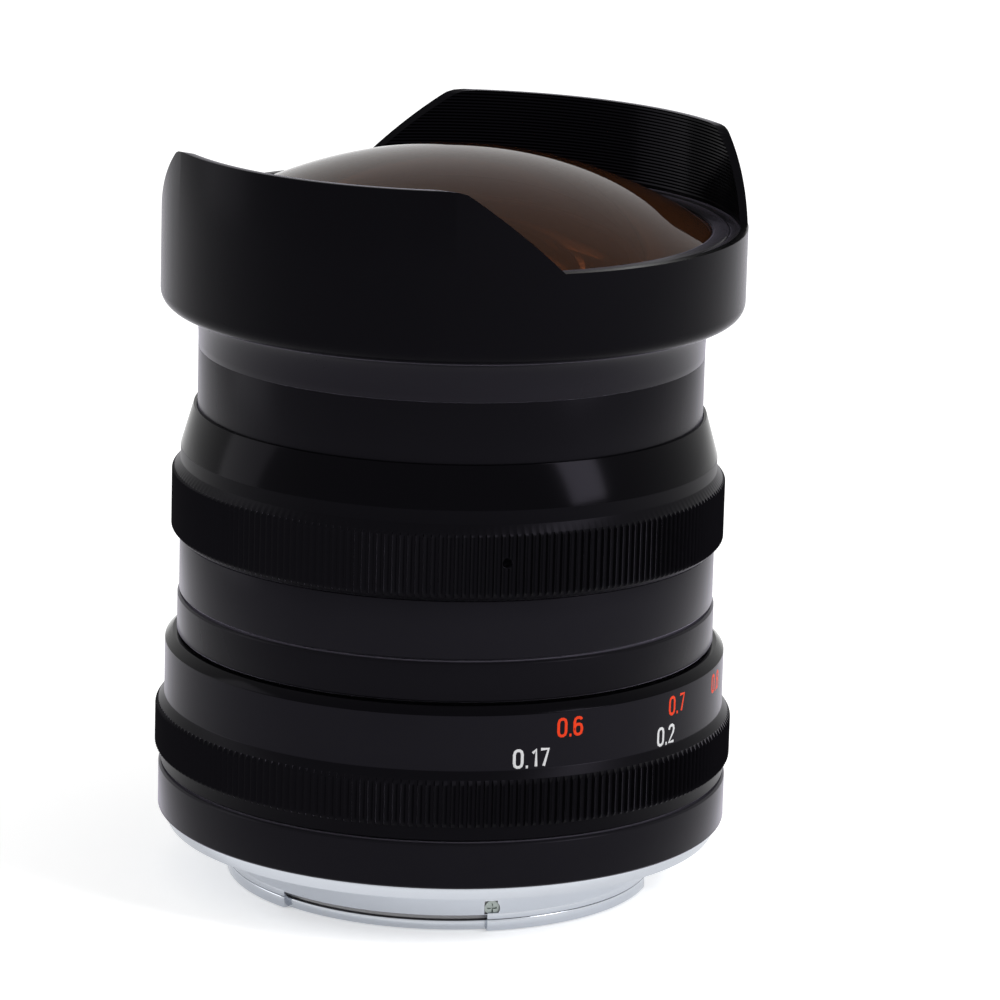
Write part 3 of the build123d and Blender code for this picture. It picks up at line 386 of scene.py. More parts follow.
@dataclass
class Turning:
    """A piece turned on the lathe.

    Corners are (radius, height) in millimetres. A closed outline is a ring, and an open one starts and
    ends on the axis.
    """

    outline: Outline
    steps: int = 288
    edge: float = 0.1
    closed: bool = True

    def spin(self) -> Shell:
        """Round the corners, then spin the outline about the axis, still in millimetres."""
        bm = bmesh.new()
        verts = [bm.verts.new((r, 0.0, z)) for r, z in self.outline]
        bm.faces.new(verts)
        if self.edge > 0:
            turned = [v for v in bm.verts if v.co.x > NEAR_AXIS and self._bend(v) > radians(ROUND_BEND)]
            bmesh.ops.bevel(bm, geom=turned, offset=self.edge, affect="VERTICES", segments=2, profile=0.5,
                            material=-1, clamp_overlap=True)
        bmesh.ops.delete(bm, geom=bm.faces[:], context="FACES_ONLY")
        if not self.closed:
            axis_edges = [e for e in bm.edges if all(v.co.x < NEAR_AXIS for v in e.verts)]
            bmesh.ops.delete(bm, geom=axis_edges, context="EDGES")
        bmesh.ops.spin(bm, geom=bm.verts[:] + bm.edges[:], axis=(0, 0, 1), angle=2 * pi,
                       steps=self.steps, use_merge=True)
        bmesh.ops.remove_doubles(bm, verts=bm.verts[:], dist=WELD)
        bmesh.ops.recalc_face_normals(bm, faces=bm.faces[:])
        return bm

    @staticmethod
    def _bend(v: bmesh.types.BMVert) -> float:
        """How far the outline turns at a corner, in radians."""
        one, two = (e.other_vert(v).co - v.co for e in v.link_edges)
        return pi - one.angle(two, pi)


@dataclass
class Ribs:
    """Straight ribs round a turned ring: count, the radius of the groove floor and the height they span."""

    count: int
    floor: float
    low: float
    high: float
    places: tuple[float, float, float] = (0.42, 0.56, 0.86)
    depth: float = 2.5
    corners: int = 4

    @property
    def steps(self) -> int:
        """Steps in which the ring has to be spun."""
        return self.corners * self.count

    def cut(self, bm: Shell) -> None:
        """Shift the spun rows to the ribs' corners, then draw the groove corners in to the floor."""
        step = 2 * pi / self.steps
        for order, share in enumerate(self.places, start=1):
            rows = [v for v in bm.verts if self.low - NEAR <= v.co.z <= self.high + NEAR
                    and hypot(v.co.x, v.co.y) > self.floor - self.depth
                    and round(atan2(v.co.y, v.co.x) / step) % self.corners == order]
            if order > 1:
                deep = [v for v in rows if hypot(v.co.x, v.co.y) > self.floor]
                radii = {round(hypot(v.co.x, v.co.y), 3) for v in deep}
                for radius in radii:
                    ring = [v for v in deep if round(hypot(v.co.x, v.co.y), 3) == radius]
                    scale = self.floor / radius
                    bmesh.ops.scale(bm, vec=(scale, scale, 1.0), verts=ring)
            shift = (share - order / self.corners) * self.corners * step
            bmesh.ops.rotate(bm, matrix=Matrix.Rotation(shift, 3, "Z"), verts=rows)


def finish_mesh(bm: Shell, name: str, sharp: float = SHARP) -> Mesh:
    """Scale a millimetre mesh to metres and shade it.

    Args:
        bm: The mesh, which is freed.
        name: Name of the result.
        sharp: Angle in degrees past which an edge stays sharp.

    Returns:
        The finished mesh.
    """
    bmesh.ops.scale(bm, vec=(MM, MM, MM), verts=bm.verts[:])
    mesh = bpy.data.meshes.new(name)
    bm.to_mesh(mesh)
    bm.free()
    mesh.shade_smooth()
    mesh.set_sharp_from_angle(angle=radians(sharp))
    return mesh


def link(thing: bpy.types.Object) -> None:
    """Add an object to the scene."""
    bpy.context.scene.collection.objects.link(thing)


def put(mesh: Mesh, name: str, body: Body, materials: list[Material],
        nodes: tuple[str, ...] = ()) -> bpy.types.Object:
    """Place a finished mesh in the scene.

    Args:
        mesh: Its mesh, in the lens's frame.
        name: Its name.
        body: The CAD body it rides on.
        materials: Its materials.
        nodes: CAD nodes that it stands for.

    Returns:
        The new object.
    """
    piece = bpy.data.objects.new(name, mesh)
    link(piece)
    for material in materials:
        mesh.materials.append(material)
    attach(piece, body.value)
    if nodes:
        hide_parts(*nodes)
    log.info("%s: %d faces", name, len(mesh.polygons))
    return piece


def ring_direction(angle: float) -> Vector:
    """Unit vector from the axis at an angle in degrees from +X."""
    return Vector((cos(radians(angle)), sin(radians(angle)), 0.0))


def drill(bm: Shell, radius: float, start: Vector, end: Vector, segments: int = 24) -> None:
    """Add a closed cylinder between two points, as part of a cutter."""
    line = end - start
    turn = line.to_track_quat("Z", "Y").to_matrix().to_4x4()
    matrix = Matrix.Translation((start + end) / 2) @ turn
    bmesh.ops.create_cone(bm, cap_ends=True, segments=segments, radius1=radius, radius2=radius,
                          depth=line.length, matrix=matrix)


def carve(mesh: Mesh, cutter: Shell, name: str) -> Mesh:
    """Cut one mesh with another, given in millimetres.

    Args:
        mesh: The mesh to cut, in metres.
        cutter: The cutter, which is freed.
        name: Name of the result.

    Returns:
        The cut mesh.
    """
    bmesh.ops.recalc_face_normals(cutter, faces=cutter.faces[:])
    tool_mesh = finish_mesh(cutter, name + "_cutter")
    piece = bpy.data.objects.new(name + "_blank", mesh)
    tool = bpy.data.objects.new(name + "_tool", tool_mesh)
    link(piece)
    link(tool)
    modifier = piece.modifiers.new("cut", "BOOLEAN")
    modifier.operation = "DIFFERENCE"
    modifier.solver = "EXACT"
    modifier.object = tool
    graph = bpy.context.evaluated_depsgraph_get()
    result = bpy.data.meshes.new_from_object(piece.evaluated_get(graph))
    result.name = name
    bpy.data.objects.remove(piece)
    bpy.data.objects.remove(tool)
    result.shade_smooth()
    result.set_sharp_from_angle(angle=radians(SHARP))
    return result


def arc(centre: Corner, radius: float, start: float, end: float, count: int) -> Outline:
    """Corners along an arc, angles in degrees."""
    return [(centre[0] + radius * cos(radians(start + (end - start) * i / count)),
             centre[1] + radius * sin(radians(start + (end - start) * i / count))) for i in range(count + 1)]


def sag(curve: float, r: float) -> float:
    """Height lost from a sphere's vertex at a distance from the axis."""
    return copysign(abs(curve) - sqrt(curve * curve - r * r), curve)


def dome(vertex: float, curve: float, radius: float, count: int) -> Outline:
    """Corners of a spherical face from its rim to the axis."""
    radii = [radius * (1 - i / count) for i in range(count + 1)]
    return [(r, vertex - sag(curve, r)) for r in radii]


@dataclass
class Bayonet:
    """Bright bayonet with flange, locating band, three lugs and a screw in its side.

    Between the lugs a lower wall is left, with a groove over it. A narrow slit parts each lug from the
    shoulder above.
    """

    throat: float = 23.6
    core: float = 25.9
    lug: float = 27.4
    lugs: int = 3
    lug_top: float = 1.45
    slit: float = 0.03
    gap_wall: float = 26.6
    gap_wall_top: float = 1.2
    band_low: float = 2.08
    face: float = 6.7
    flange: float = 35.3
    top: float = 8.3
    gap_angle: float = -72.55
    lug_span: float = 61.7
    screws: int = 4
    screw_circle: float = 32.2
    screw_turn: float = 25.0
    screw_hole: float = 1.57
    screw_seat: float = 0.85
    lock_turn: float = 150.0
    lock_hole: float = 1.25
    lock_depth: float = 1.2
    overrun: float = 1.0
    neck: float = 0.35
    edge: float = 0.15
    side_angle: float = -42.0
    side_height: float = 2.9
    side_hole: float = 0.97
    side_depth: float = 0.75
    pocket_place: tuple[float, float, float] = (0.3, -0.2, 0.17)
    pocket_size: tuple[float, float, float] = (1.6, 1.7, 1.7)
    lug_steps: int = 48
    lug_root: float = 0.3
    lug_proud: float = 0.004
    lug_bend: float = 40.0
    lug_rounding: float = 0.125
    step: float = 0.3
    overlap: float = 0.25
    skins: tuple[float, float] = (0.1, 0.2)

    def build(self, finishes: Finishes) -> None:
        """Turn, cut and dress the bayonet."""
        body = Turning([
            (self.throat, 0.0), (self.gap_wall, 0.0), (self.gap_wall, self.gap_wall_top),
            (self.core, self.gap_wall_top), (self.core, self.band_low), (self.lug, self.band_low),
            (self.lug, self.face - self.neck), (self.lug + self.step, self.face - self.neck),
            (self.lug + self.step, self.face), (self.flange, self.face), (self.flange, self.top),
            (self.throat, self.top),
        ], edge=self.edge).spin()
        mesh = finish_mesh(body, "bayonet_mount")
        cutter = bmesh.new()
        holes = [(self.screw_turn + 360 / self.screws * i, self.screw_hole, self.screw_seat)
                 for i in range(self.screws)]
        holes.append((self.lock_turn, self.lock_hole, self.lock_depth))
        for angle, radius, depth in holes:
            out = ring_direction(angle) * self.screw_circle
            drill(cutter, radius, out + Vector((0, 0, self.face - self.overrun)),
                  out + Vector((0, 0, self.face + depth)))
        side = ring_direction(self.side_angle)
        height = Vector((0, 0, self.side_height))
        drill(cutter, self.side_hole, side * (self.lug - self.side_depth) + height,
              side * (self.lug + self.overrun) + height)
        mesh = carve(carve(mesh, cutter, "bayonet_mount"), self._pocket(), "bayonet_mount")
        self._darken(mesh)
        put(mesh, "bayonet_bright", Body.MOUNT,
            [finishes.bright, finishes.inner, finishes.groove], ("bayonet_mount",))
        for lug in range(self.lugs):
            start = self.gap_angle + 360 / self.lugs * (lug + 0.5) - self.lug_span / 2
            self._lug(start, 0.0, self.lug_top, finishes, f"bayonet_lug_{lug + 1}")
            self._lug(start, self.lug_top + self.slit, self.band_low + self.overlap, finishes,
                      f"bayonet_shoulder_{lug + 1}")

    def _pocket(self) -> Shell:
        """Cutter of the small square pocket round the side screw."""
        cutter = bmesh.new()
        turn = Matrix.Rotation(radians(self.side_angle), 4, "Z")
        outward, across, upward = self.pocket_place
        place = Matrix.Translation((self.lug + outward, across, self.side_height + upward))
        size = Matrix.Diagonal((*self.pocket_size, 1.0))
        bmesh.ops.create_cube(cutter, size=1.0, matrix=turn @ place @ size)
        return cutter

    def _lug(self, start: float, low: float, high: float, finishes: Finishes, name: str) -> None:
        """Spin one lug, or the shoulder over it, through its span, with rounded edges."""
        bm = bmesh.new()
        out = ring_direction(start)
        outside = self.lug + self.lug_proud
        root = self.core - self.lug_root
        section = [(root, low), (outside, low), (outside, high), (root, high)]
        verts = [bm.verts.new((out.x * r, out.y * r, z)) for r, z in section]
        face = bm.faces.new(verts)
        bmesh.ops.spin(bm, geom=[face], axis=(0, 0, 1), angle=radians(self.lug_span),
                       steps=self.lug_steps)
        bmesh.ops.recalc_face_normals(bm, faces=bm.faces[:])
        corners = [e for e in bm.edges
                   if len(e.link_faces) == 2 and e.calc_face_angle(0) > radians(self.lug_bend)
                   and min(hypot(v.co.x, v.co.y) for v in e.verts) > self.core]
        width = min(self.edge, (high - low) * self.lug_rounding)
        bmesh.ops.bevel(bm, geom=corners, offset=width, affect="EDGES", segments=2, profile=0.5,
                        material=-1, clamp_overlap=True)
        put(finish_mesh(bm, "lug"), name, Body.MOUNT, [finishes.bright])

    def _darken(self, mesh: Mesh) -> None:
        """Give the throat's wall the second material, and the groove and the holes' walls the third."""
        thin, thick = self.skins
        for face in mesh.polygons:
            middle = face.center / MM
            r = hypot(middle.x, middle.y)
            if r < self.throat + self.edge:
                face.material_index = 1
            # The groove and the holes' walls take the darker grey: painted shade in these recesses.
            elif r < self.lug - thick and self.gap_wall_top - NEAR < middle.z < self.band_low + NEAR:
                face.material_index = 2
            elif self.core < r < self.lug - thin and self.band_low < middle.z < self.face - self.neck - thick:
                face.material_index = 2


@dataclass
class Barrels:
    """Plain turned rings and barrels between the ribbed ones."""

    base: Outline = field(default_factory=lambda: [
        (30.0, 8.4), (36.2, 8.4), (36.45, 8.65), (36.45, 14.0), (36.2, 14.25), (35.45, 14.25), (35.45, 11.0),
        (30.0, 11.0)])
    index: Outline = field(default_factory=lambda: [
        (33.22, 31.65), (34.05, 31.65), (34.3, 31.9), (34.3, 36.45), (34.05, 36.7), (33.22, 36.7)])
    sleeve: Outline = field(default_factory=lambda: [
        (30.2, 33.4), (31.55, 33.4), (31.55, 36.95), (33.85, 36.95), (34.1, 37.2), (34.1, 44.35),
        (26.5, 44.35), (26.5, 42.45), (30.2, 42.45)])
    barrel: Outline = field(default_factory=lambda: [
        (27.6, 44.35), (32.07, 44.35), (32.07, 68.75), (31.3, 68.75), (31.3, 71.0), (30.4, 71.0),
        (30.4, 46.0), (27.6, 46.0)])
    edge: float = 0.04

    def build(self, finishes: Finishes) -> None:
        """Turn and dress each of them."""
        rows = (
            ("base_ring_black", self.base, Body.MOUNT, "base_ring", finishes.satin),
            ("index_sleeve_black", self.index, Body.MOUNT, "index_sleeve", finishes.barrel),
            # The front sleeve takes the lighter copy of the black, painted light in the shade of the aperture
            # ring's overhang.
            ("front_sleeve_black", self.sleeve, Body.FRONT, "front_sleeve", finishes.sleeve),
            ("front_barrel_black", self.barrel, Body.FRONT, "front_barrel", finishes.barrel),
        )
        for name, outline, body, node, finish in rows:
            mesh = finish_mesh(Turning(outline, edge=self.edge).spin(), name)
            put(mesh, name, body, [finish], (node,))


@dataclass
class FocusRing:
    """Ribbed focus ring with its scale band."""

    outline: Outline = field(default_factory=lambda: [
        (33.25, 14.45), (35.95, 14.45), (36.2, 14.7), (36.2, 16.35), (36.52, 16.35), (36.94, 16.77),
        (36.94, 21.78), (36.52, 22.395), (35.8, 23.45), (35.8, 30.45), (34.8, 31.45), (33.25, 31.45)])
    ribs: Ribs = field(default_factory=lambda: Ribs(225, 36.52, 16.35, 22.4))
    band_low: float = 23.4
    chamfer_low: float = 30.4
    edge: float = 0.06

    def build(self, finishes: Finishes) -> None:
        """Turn the ring, cut its ribs and dress it."""
        bm = Turning(self.outline, steps=self.ribs.steps, edge=self.edge).spin()
        self.ribs.cut(bm)
        mesh = finish_mesh(bm, "focus_ring", SHARP_RIBS)
        for face in mesh.polygons:
            # Upward faces of the top chamfer take the darker glossy copy: painted shade.
            if face.center.z > self.chamfer_low * MM and face.normal.z > UPWARD:
                face.material_index = 1
            # The scale band takes the same lighter copy of the black: painted light.
            elif face.center.z > self.band_low * MM:
                face.material_index = 2
        put(mesh, "focus_ring_black", Body.FOCUS,
            [finishes.ribs, finishes.cone, finishes.sleeve], ("focus_ring",))


@dataclass
class ApertureRing:
    """Ribbed aperture ring with collar and glossy cone, and the small hole of its pin."""

    outline: Outline = field(default_factory=lambda: [
        (32.12, 44.55), (34.3, 44.55), (34.84, 45.09), (35.2, 45.45), (35.2, 52.7), (34.85, 53.05),
        (34.1, 54.05), (34.1, 55.75), (32.55, 61.1), (32.12, 61.1)])
    ribs: Ribs = field(default_factory=lambda: Ribs(230, 34.84, 44.55, 53.05))
    cone_low: float = 55.8
    pin_angle: float = -44.24
    pin_height: float = 49.38
    pin_hole: float = 0.66
    pin_reach: tuple[float, float] = (34.25, 36.5)
    edge: float = 0.06

    def build(self, finishes: Finishes) -> None:
        """Turn the ring, cut its ribs and hole, and dress it."""
        bm = Turning(self.outline, steps=self.ribs.steps, edge=self.edge).spin()
        self.ribs.cut(bm)
        mesh = finish_mesh(bm, "aperture_ring", SHARP_RIBS)
        cutter = bmesh.new()
        out = ring_direction(self.pin_angle)
        height = Vector((0, 0, self.pin_height))
        inside, outside = self.pin_reach
        drill(cutter, self.pin_hole, out * inside + height, out * outside + height)
        mesh = carve(mesh, cutter, "aperture_ring")
        for face in mesh.polygons:
            # Upward faces of the cone take the darker glossy copy: its gloss is real, its darker tone painted
            # shade.
            if face.center.z > self.cone_low * MM and face.normal.z > UPWARD:
                face.material_index = 1
        put(mesh, "aperture_ring_black", Body.APERTURE, [finishes.ribs, finishes.cone],
            ("aperture_ring",))


@dataclass
class Hood:
    """Hood with cove, body and two petals, finely grooved inside."""

    radius: float = 36.93
    inner: float = 35.93
    under: float = 74.1
    valley: float = 85.48
    top: float = 95.6
    grooves: int = 24
    groove_depth: float = 0.13
    cut_bottom: float = 21.26
    cut_top: float = 30.2
    shoulder: float = 2.0
    shoulder_steps: int = 8
    foot: tuple[Corner, ...] = ((31.32, 68.75), (32.07, 68.75))
    cove: tuple[Corner, Corner] = ((32.07, 69.6), (34.1, 74.1))
    cove_steps: int = 10
    seat: tuple[Corner, ...] = (
        (35.93, 75.0), (26.0, 75.0), (26.0, 73.0), (30.4, 73.0), (30.4, 71.02), (31.32, 71.02))
    petal_corner: tuple[Corner, ...] = ((-0.72, -0.9), (-0.3, -0.45), (0.25, -0.14), (1.0, 0.0), (1.0, 2.0))
    reach: float = 40.0
    edge: float = 0.05
    steps: int = 360

    def outline(self) -> Outline:
        """The hood's section before the petals are cut."""
        start, end = self.cove
        corners = list(self.foot)
        for i in range(self.cove_steps + 1):
            t = i / self.cove_steps
            corners.append(((1 - t * t) * start[0] + t * t * end[0],
                            (1 - t) ** 2 * start[1] + (1 - (1 - t) ** 2) * end[1]))
        corners += arc((self.radius - self.shoulder, self.under + self.shoulder), self.shoulder, -90, 0,
                       self.shoulder_steps)
        corners += [(self.radius, self.valley), (self.radius, self.top), (self.inner, self.top)]
        pitch = (self.top - self.valley) / self.grooves
        for i in range(self.grooves):
            tip = self.top - i * pitch
            corners += [(self.inner + self.groove_depth, tip - pitch / 2), (self.inner, tip - pitch)]
        return corners + list(self.seat)

    def valley_cutter(self) -> Shell:
        """A prism across the hood that leaves two petals with rounded corners."""
        side = [(self.cut_bottom, self.valley)]
        side += [(self.cut_top + across, self.top + up) for across, up in self.petal_corner]
        bm = bmesh.new()
        verts = [bm.verts.new((-self.reach, y, z)) for y, z in side]
        verts += [bm.verts.new((-self.reach, -y, z)) for y, z in reversed(side)]
        face = bm.faces.new(verts)
        moved = bmesh.ops.extrude_face_region(bm, geom=[face])
        ends = [v for v in moved["geom"] if isinstance(v, bmesh.types.BMVert)]
        bmesh.ops.translate(bm, vec=(2 * self.reach, 0, 0), verts=ends)
        return bm

    def build(self, finishes: Finishes) -> None:
        """Turn the hood, cut the petals and dress it."""
        mesh = finish_mesh(Turning(self.outline(), steps=self.steps, edge=self.edge).spin(), "hood")
        mesh = carve(mesh, self.valley_cutter(), "hood")
        for face in mesh.polygons:
            middle = face.center / MM
            r = hypot(middle.x, middle.y)
            # The cove under the hood takes the lighter copy of the black: painted light.
            if middle.z < self.under + self.edge and r > self.cove[0][0] - self.edge:
                face.material_index = 1
            # The grooved inside of the hood takes the darker glossy copy: painted shade.
            elif middle.z > self.seat[0][1] + self.edge and r < self.inner + self.groove_depth + NEAR:
                face.material_index = 2
        put(mesh, "hood_black", Body.FRONT,
            [finishes.hood, finishes.cove, finishes.cone], ("hood",))


@dataclass
class Optics:
    """Eleven glass elements and the flat ring round the front one."""

    dome_vertex: float = 94.06
    dome_curve: float = 60.0
    dome_radius: float = 33.26
    hollow_vertex: float = 90.66
    hollow_curve: float = 25.5
    hollow_radius: float = 22.5
    foot: float = 77.1
    foot_radius: float = 24.13
    dome_steps: int = 40
    hollow_steps: int = 32
    element_steps: int = 16
    front_spin: int = 256
    element_spin: int = 128
    ground: float = 0.2
    ground_slope: float = 0.2
    ring_edge: float = 0.03
    ring: Outline = field(default_factory=lambda: [
        (32.46, 84.57), (33.31, 84.05), (33.31, 82.5), (35.91, 82.5), (35.91, 85.0), (34.75, 85.0),
        (34.65, 84.85), (34.45, 84.85), (34.35, 85.0), (32.71, 85.0), (32.46, 84.875)])
    front_room: tuple[float, float] = (51.005, 26.095)
    rear_room: tuple[float, float] = (6.3, 40.195)
    front_rows: dict[str, tuple[float, ...]] = field(default_factory=lambda: {
        "glass_2": (1.131, 1.462, 1.062, 0.558, 0.846, 0.508),
        "glass_3": (0.650, 2.308, 0.596, 0.769, 0.654, 0.423),
        "glass_4": (0.381, 0.923, 0.173, -2.308, 0.462, 0.462),
        "glass_5": (0.173, -2.308, 0.096, 1.538, 0.462, 0.462),
    })
    rear_rows: dict[str, tuple[float, ...]] = field(default_factory=lambda: {
        "glass_6": (0.980, 0.549, 0.855, -0.998, 0.274, 0.274),
        "glass_7": (0.805, 1.496, 0.691, -0.748, 0.287, 0.287),
        "glass_8": (0.691, -0.748, 0.651, 1.122, 0.287, 0.287),
        "glass_9": (0.541, 0.748, 0.392, -1.122, 0.324, 0.324),
        "glass_10": (0.392, -1.122, 0.352, 1.496, 0.324, 0.324),
        "glass_11": (0.212, -1.746, 0.117, -0.873, 0.399, 0.399),
    })

    def build(self, finishes: Finishes) -> None:
        """Turn every element and ring."""
        self._front_glass(finishes)
        for (low, room), rows in ((self.front_room, self.front_rows), (self.rear_room, self.rear_rows)):
            for name, shares in rows.items():
                self._element(name, [share * room for share in shares], low, finishes)
        mesh = finish_mesh(Turning(self.ring, edge=self.ring_edge).spin(), "front_ring")
        put(mesh, "front_ring_black", Body.FRONT, [finishes.hood], ("front_retaining_ring",))

    def _front_glass(self, finishes: Finishes) -> None:
        """Bulging outside, deep hollow behind, ground at the rim and foot."""
        outline = list(reversed(dome(self.hollow_vertex, self.hollow_curve, self.hollow_radius,
                                     self.hollow_steps)))
        outline += [(self.foot_radius, self.foot), (self.dome_radius, self.foot)]
        outline += dome(self.dome_vertex, self.dome_curve, self.dome_radius, self.dome_steps)
        bm = Turning(outline, steps=self.front_spin, edge=0.0, closed=False).spin()
        mesh = finish_mesh(bm, "front_glass")
        for face in mesh.polygons:
            r = hypot(face.center.x, face.center.y)
            if r < self.hollow_radius * MM and face.normal.z < 0:
                face.material_index = 1
            elif abs(face.normal.z) < self.ground_slope or face.center.z < (self.foot + self.ground) * MM:
                face.material_index = 2
        put(mesh, "front_glass_coated", Body.FRONT,
            [finishes.front_glass, finishes.hollow_glass, finishes.matt], ("glass_1",))

    def _element(self, name: str, row: list[float], low: float, finishes: Finishes) -> None:
        """One element between two spherical faces."""
        front, front_curve, back, back_curve, edge, clear = row
        outline = list(reversed(dome(low + back, back_curve, clear, self.element_steps)))
        if clear < edge:
            outline.append((edge, outline[-1][1]))
        outline += dome(low + front, front_curve, edge, self.element_steps)
        bm = Turning(outline, steps=self.element_spin, edge=0.0, closed=False).spin()
        mesh = finish_mesh(bm, name)
        put(mesh, name + "_polished", Body.FRONT, [finishes.glass], (name,))


@dataclass(frozen=True)
class Numbers:
    """Numbers painted on a band, each a set of strokes in a box one wide and two high.

    The radius is the band's at the numbers' foot, and the slope what it narrows by for each millimetre of
    height. Rooms are the widths that signs take, with the gap after each. The film is the share of a stroke's
    roundness that is left in the paint.
    """

    radius: float
    height: float = 2.5
    stroke: float = 0.37
    slope: float = 0.0
    film: float = 0.12
    gap: float = 0.5
    narrow: float = 0.95
    room: float = 1.55
    rooms: ClassVar[dict[str, float]] = {".": 0.62, "1": 1.2, "~": 2.2}
    strokes: ClassVar[dict[str, list[tuple[bool, Outline]]]] = {
        "0": [(True, [(0, .5), (0, 1.5), (.1, 1.85), (.35, 2), (.65, 2), (.9, 1.85), (1, 1.5), (1, .5),
                      (.9, .15), (.65, 0), (.35, 0), (.1, .15)])],
        "1": [(False, [(.15, 1.6), (.6, 2), (.6, 0)])],
        "2": [(False, [(0, 1.55), (.1, 1.86), (.35, 2), (.65, 2), (.9, 1.86), (1, 1.5), (.88, 1.12), (0, 0),
                       (1, 0)])],
        "3": [(False, [(0, 1.65), (.15, 1.9), (.4, 2), (.65, 2), (.9, 1.85), (.97, 1.55), (.9, 1.25),
                       (.65, 1.08), (.4, 1.08)]),
              (False, [(.65, 1.08), (.92, .9), (1, .55), (.92, .18), (.65, 0), (.35, 0), (.12, .1), (0, .35)])],
        "4": [(False, [(.75, 0), (.75, 2), (0, .55), (1.05, .55)])],
        "5": [(False, [(.95, 2), (.15, 2), (.08, 1.12), (.35, 1.25), (.65, 1.22), (.92, 1.02), (1, .65),
                       (.92, .2), (.65, 0), (.35, 0), (.05, .22)])],
        "6": [(False, [(.95, 1.75), (.85, 1.92), (.6, 2), (.35, 2), (.1, 1.85), (0, 1.5), (0, .5)]),
              (True, [(0, .5), (.1, .15), (.35, 0), (.65, 0), (.9, .15), (1, .5), (1, .75), (.9, 1.08),
                      (.65, 1.2), (.35, 1.2), (.1, 1.05), (0, .8)])],
        "7": [(False, [(0, 2), (1, 2), (.4, 0)])],
        "8": [(True, [(.35, 1.08), (.1, 1.22), (.03, 1.5), (.1, 1.85), (.35, 2), (.65, 2), (.9, 1.85),
                      (.97, 1.5), (.9, 1.22), (.65, 1.08)]),
              (True, [(.35, 1.08), (.1, .93), (0, .6), (0, .45), (.1, .15), (.35, 0), (.65, 0), (.9, .15),
                      (1, .45), (1, .6), (.9, .93), (.65, 1.08)])],
        ".": [(False, [(-.08, 0), (.2, 0)])],
        "~": [(True, [(.9, 1), (1.15, 1.3), (1.5, 1.4), (1.8, 1.22), (1.9, 1), (1.8, .78), (1.5, .6),
                      (1.15, .7), (.9, 1), (.65, 1.3), (.3, 1.4), (0, 1.22), (-.1, 1), (0, .78), (.3, .6),
                      (.65, .7)])],
    }

    @staticmethod
    def _path(name: str, width: float) -> bpy.types.Curve:
        """An empty path, drawn with a round stroke that wide."""
        curve = bpy.data.curves.new(name, "CURVE")
        curve.dimensions = "3D"
        curve.bevel_depth = width / 2
        curve.bevel_resolution = 2
        curve.use_fill_caps = True
        return curve

    def write(self, text: str, angle: float, low: float, name: str, body: Body, paint: Material) -> None:
        """Paint a number on the band.

        Args:
            text: Digits, a point or the sign of infinity.
            angle: Middle of the text, degrees from +X.
            low: Height of its foot, in millimetres.
            name: Name of the piece.
            body: The CAD body it rides on.
            paint: Its material.
        """
        unit = (self.height - self.stroke) / 2
        total = sum(self.rooms.get(sign, self.room) for sign in text) - self.gap
        pen = -total / 2
        curve = self._path(name, self.stroke)
        for sign in text:
            for cyclic, points in self.strokes[sign]:
                spline = curve.splines.new("POLY")
                spline.points.add(len(points) - 1)
                for point, (x, y) in zip(spline.points, points):
                    point.co = ((pen + x) * unit * self.narrow, y * unit + self.stroke / 2, 0.0, 1.0)
                spline.use_cyclic_u = cyclic
            pen += self.rooms.get(sign, self.room)
        self._wrap(curve, angle, low, name, body, paint)

    def line(self, angle: float, low: float, high: float, width: float, name: str, body: Body,
             paint: Material) -> None:
        """Paint one straight mark along the lens."""
        curve = self._path(name, width)
        spline = curve.splines.new("POLY")
        spline.points.add(1)
        spline.points[0].co = (0, 0, 0, 1)
        spline.points[1].co = (0, high - low, 0, 1)
        self._wrap(curve, angle, low, name, body, paint)

    def _wrap(self, curve: bpy.types.Curve, angle: float, low: float, name: str, body: Body,
              paint: Material) -> None:
        """Flatten the strokes to a film of paint and wrap them on the band."""
        holder = bpy.data.objects.new(name + "_path", curve)
        link(holder)
        graph = bpy.context.evaluated_depsgraph_get()
        flat = bpy.data.meshes.new_from_object(holder.evaluated_get(graph))
        bpy.data.objects.remove(holder)
        bm = bmesh.new()
        bm.from_mesh(flat)
        bpy.data.meshes.remove(flat)
        for v in bm.verts:
            radius = self.radius - self.slope * v.co.y + v.co.z * self.film
            turned = radians(angle) + v.co.x / self.radius
            v.co = (radius * cos(turned), radius * sin(turned), low + v.co.y)
        bmesh.ops.recalc_face_normals(bm, faces=bm.faces[:])
        put(finish_mesh(bm, name, SHARP_PAINT), name, body, [paint])


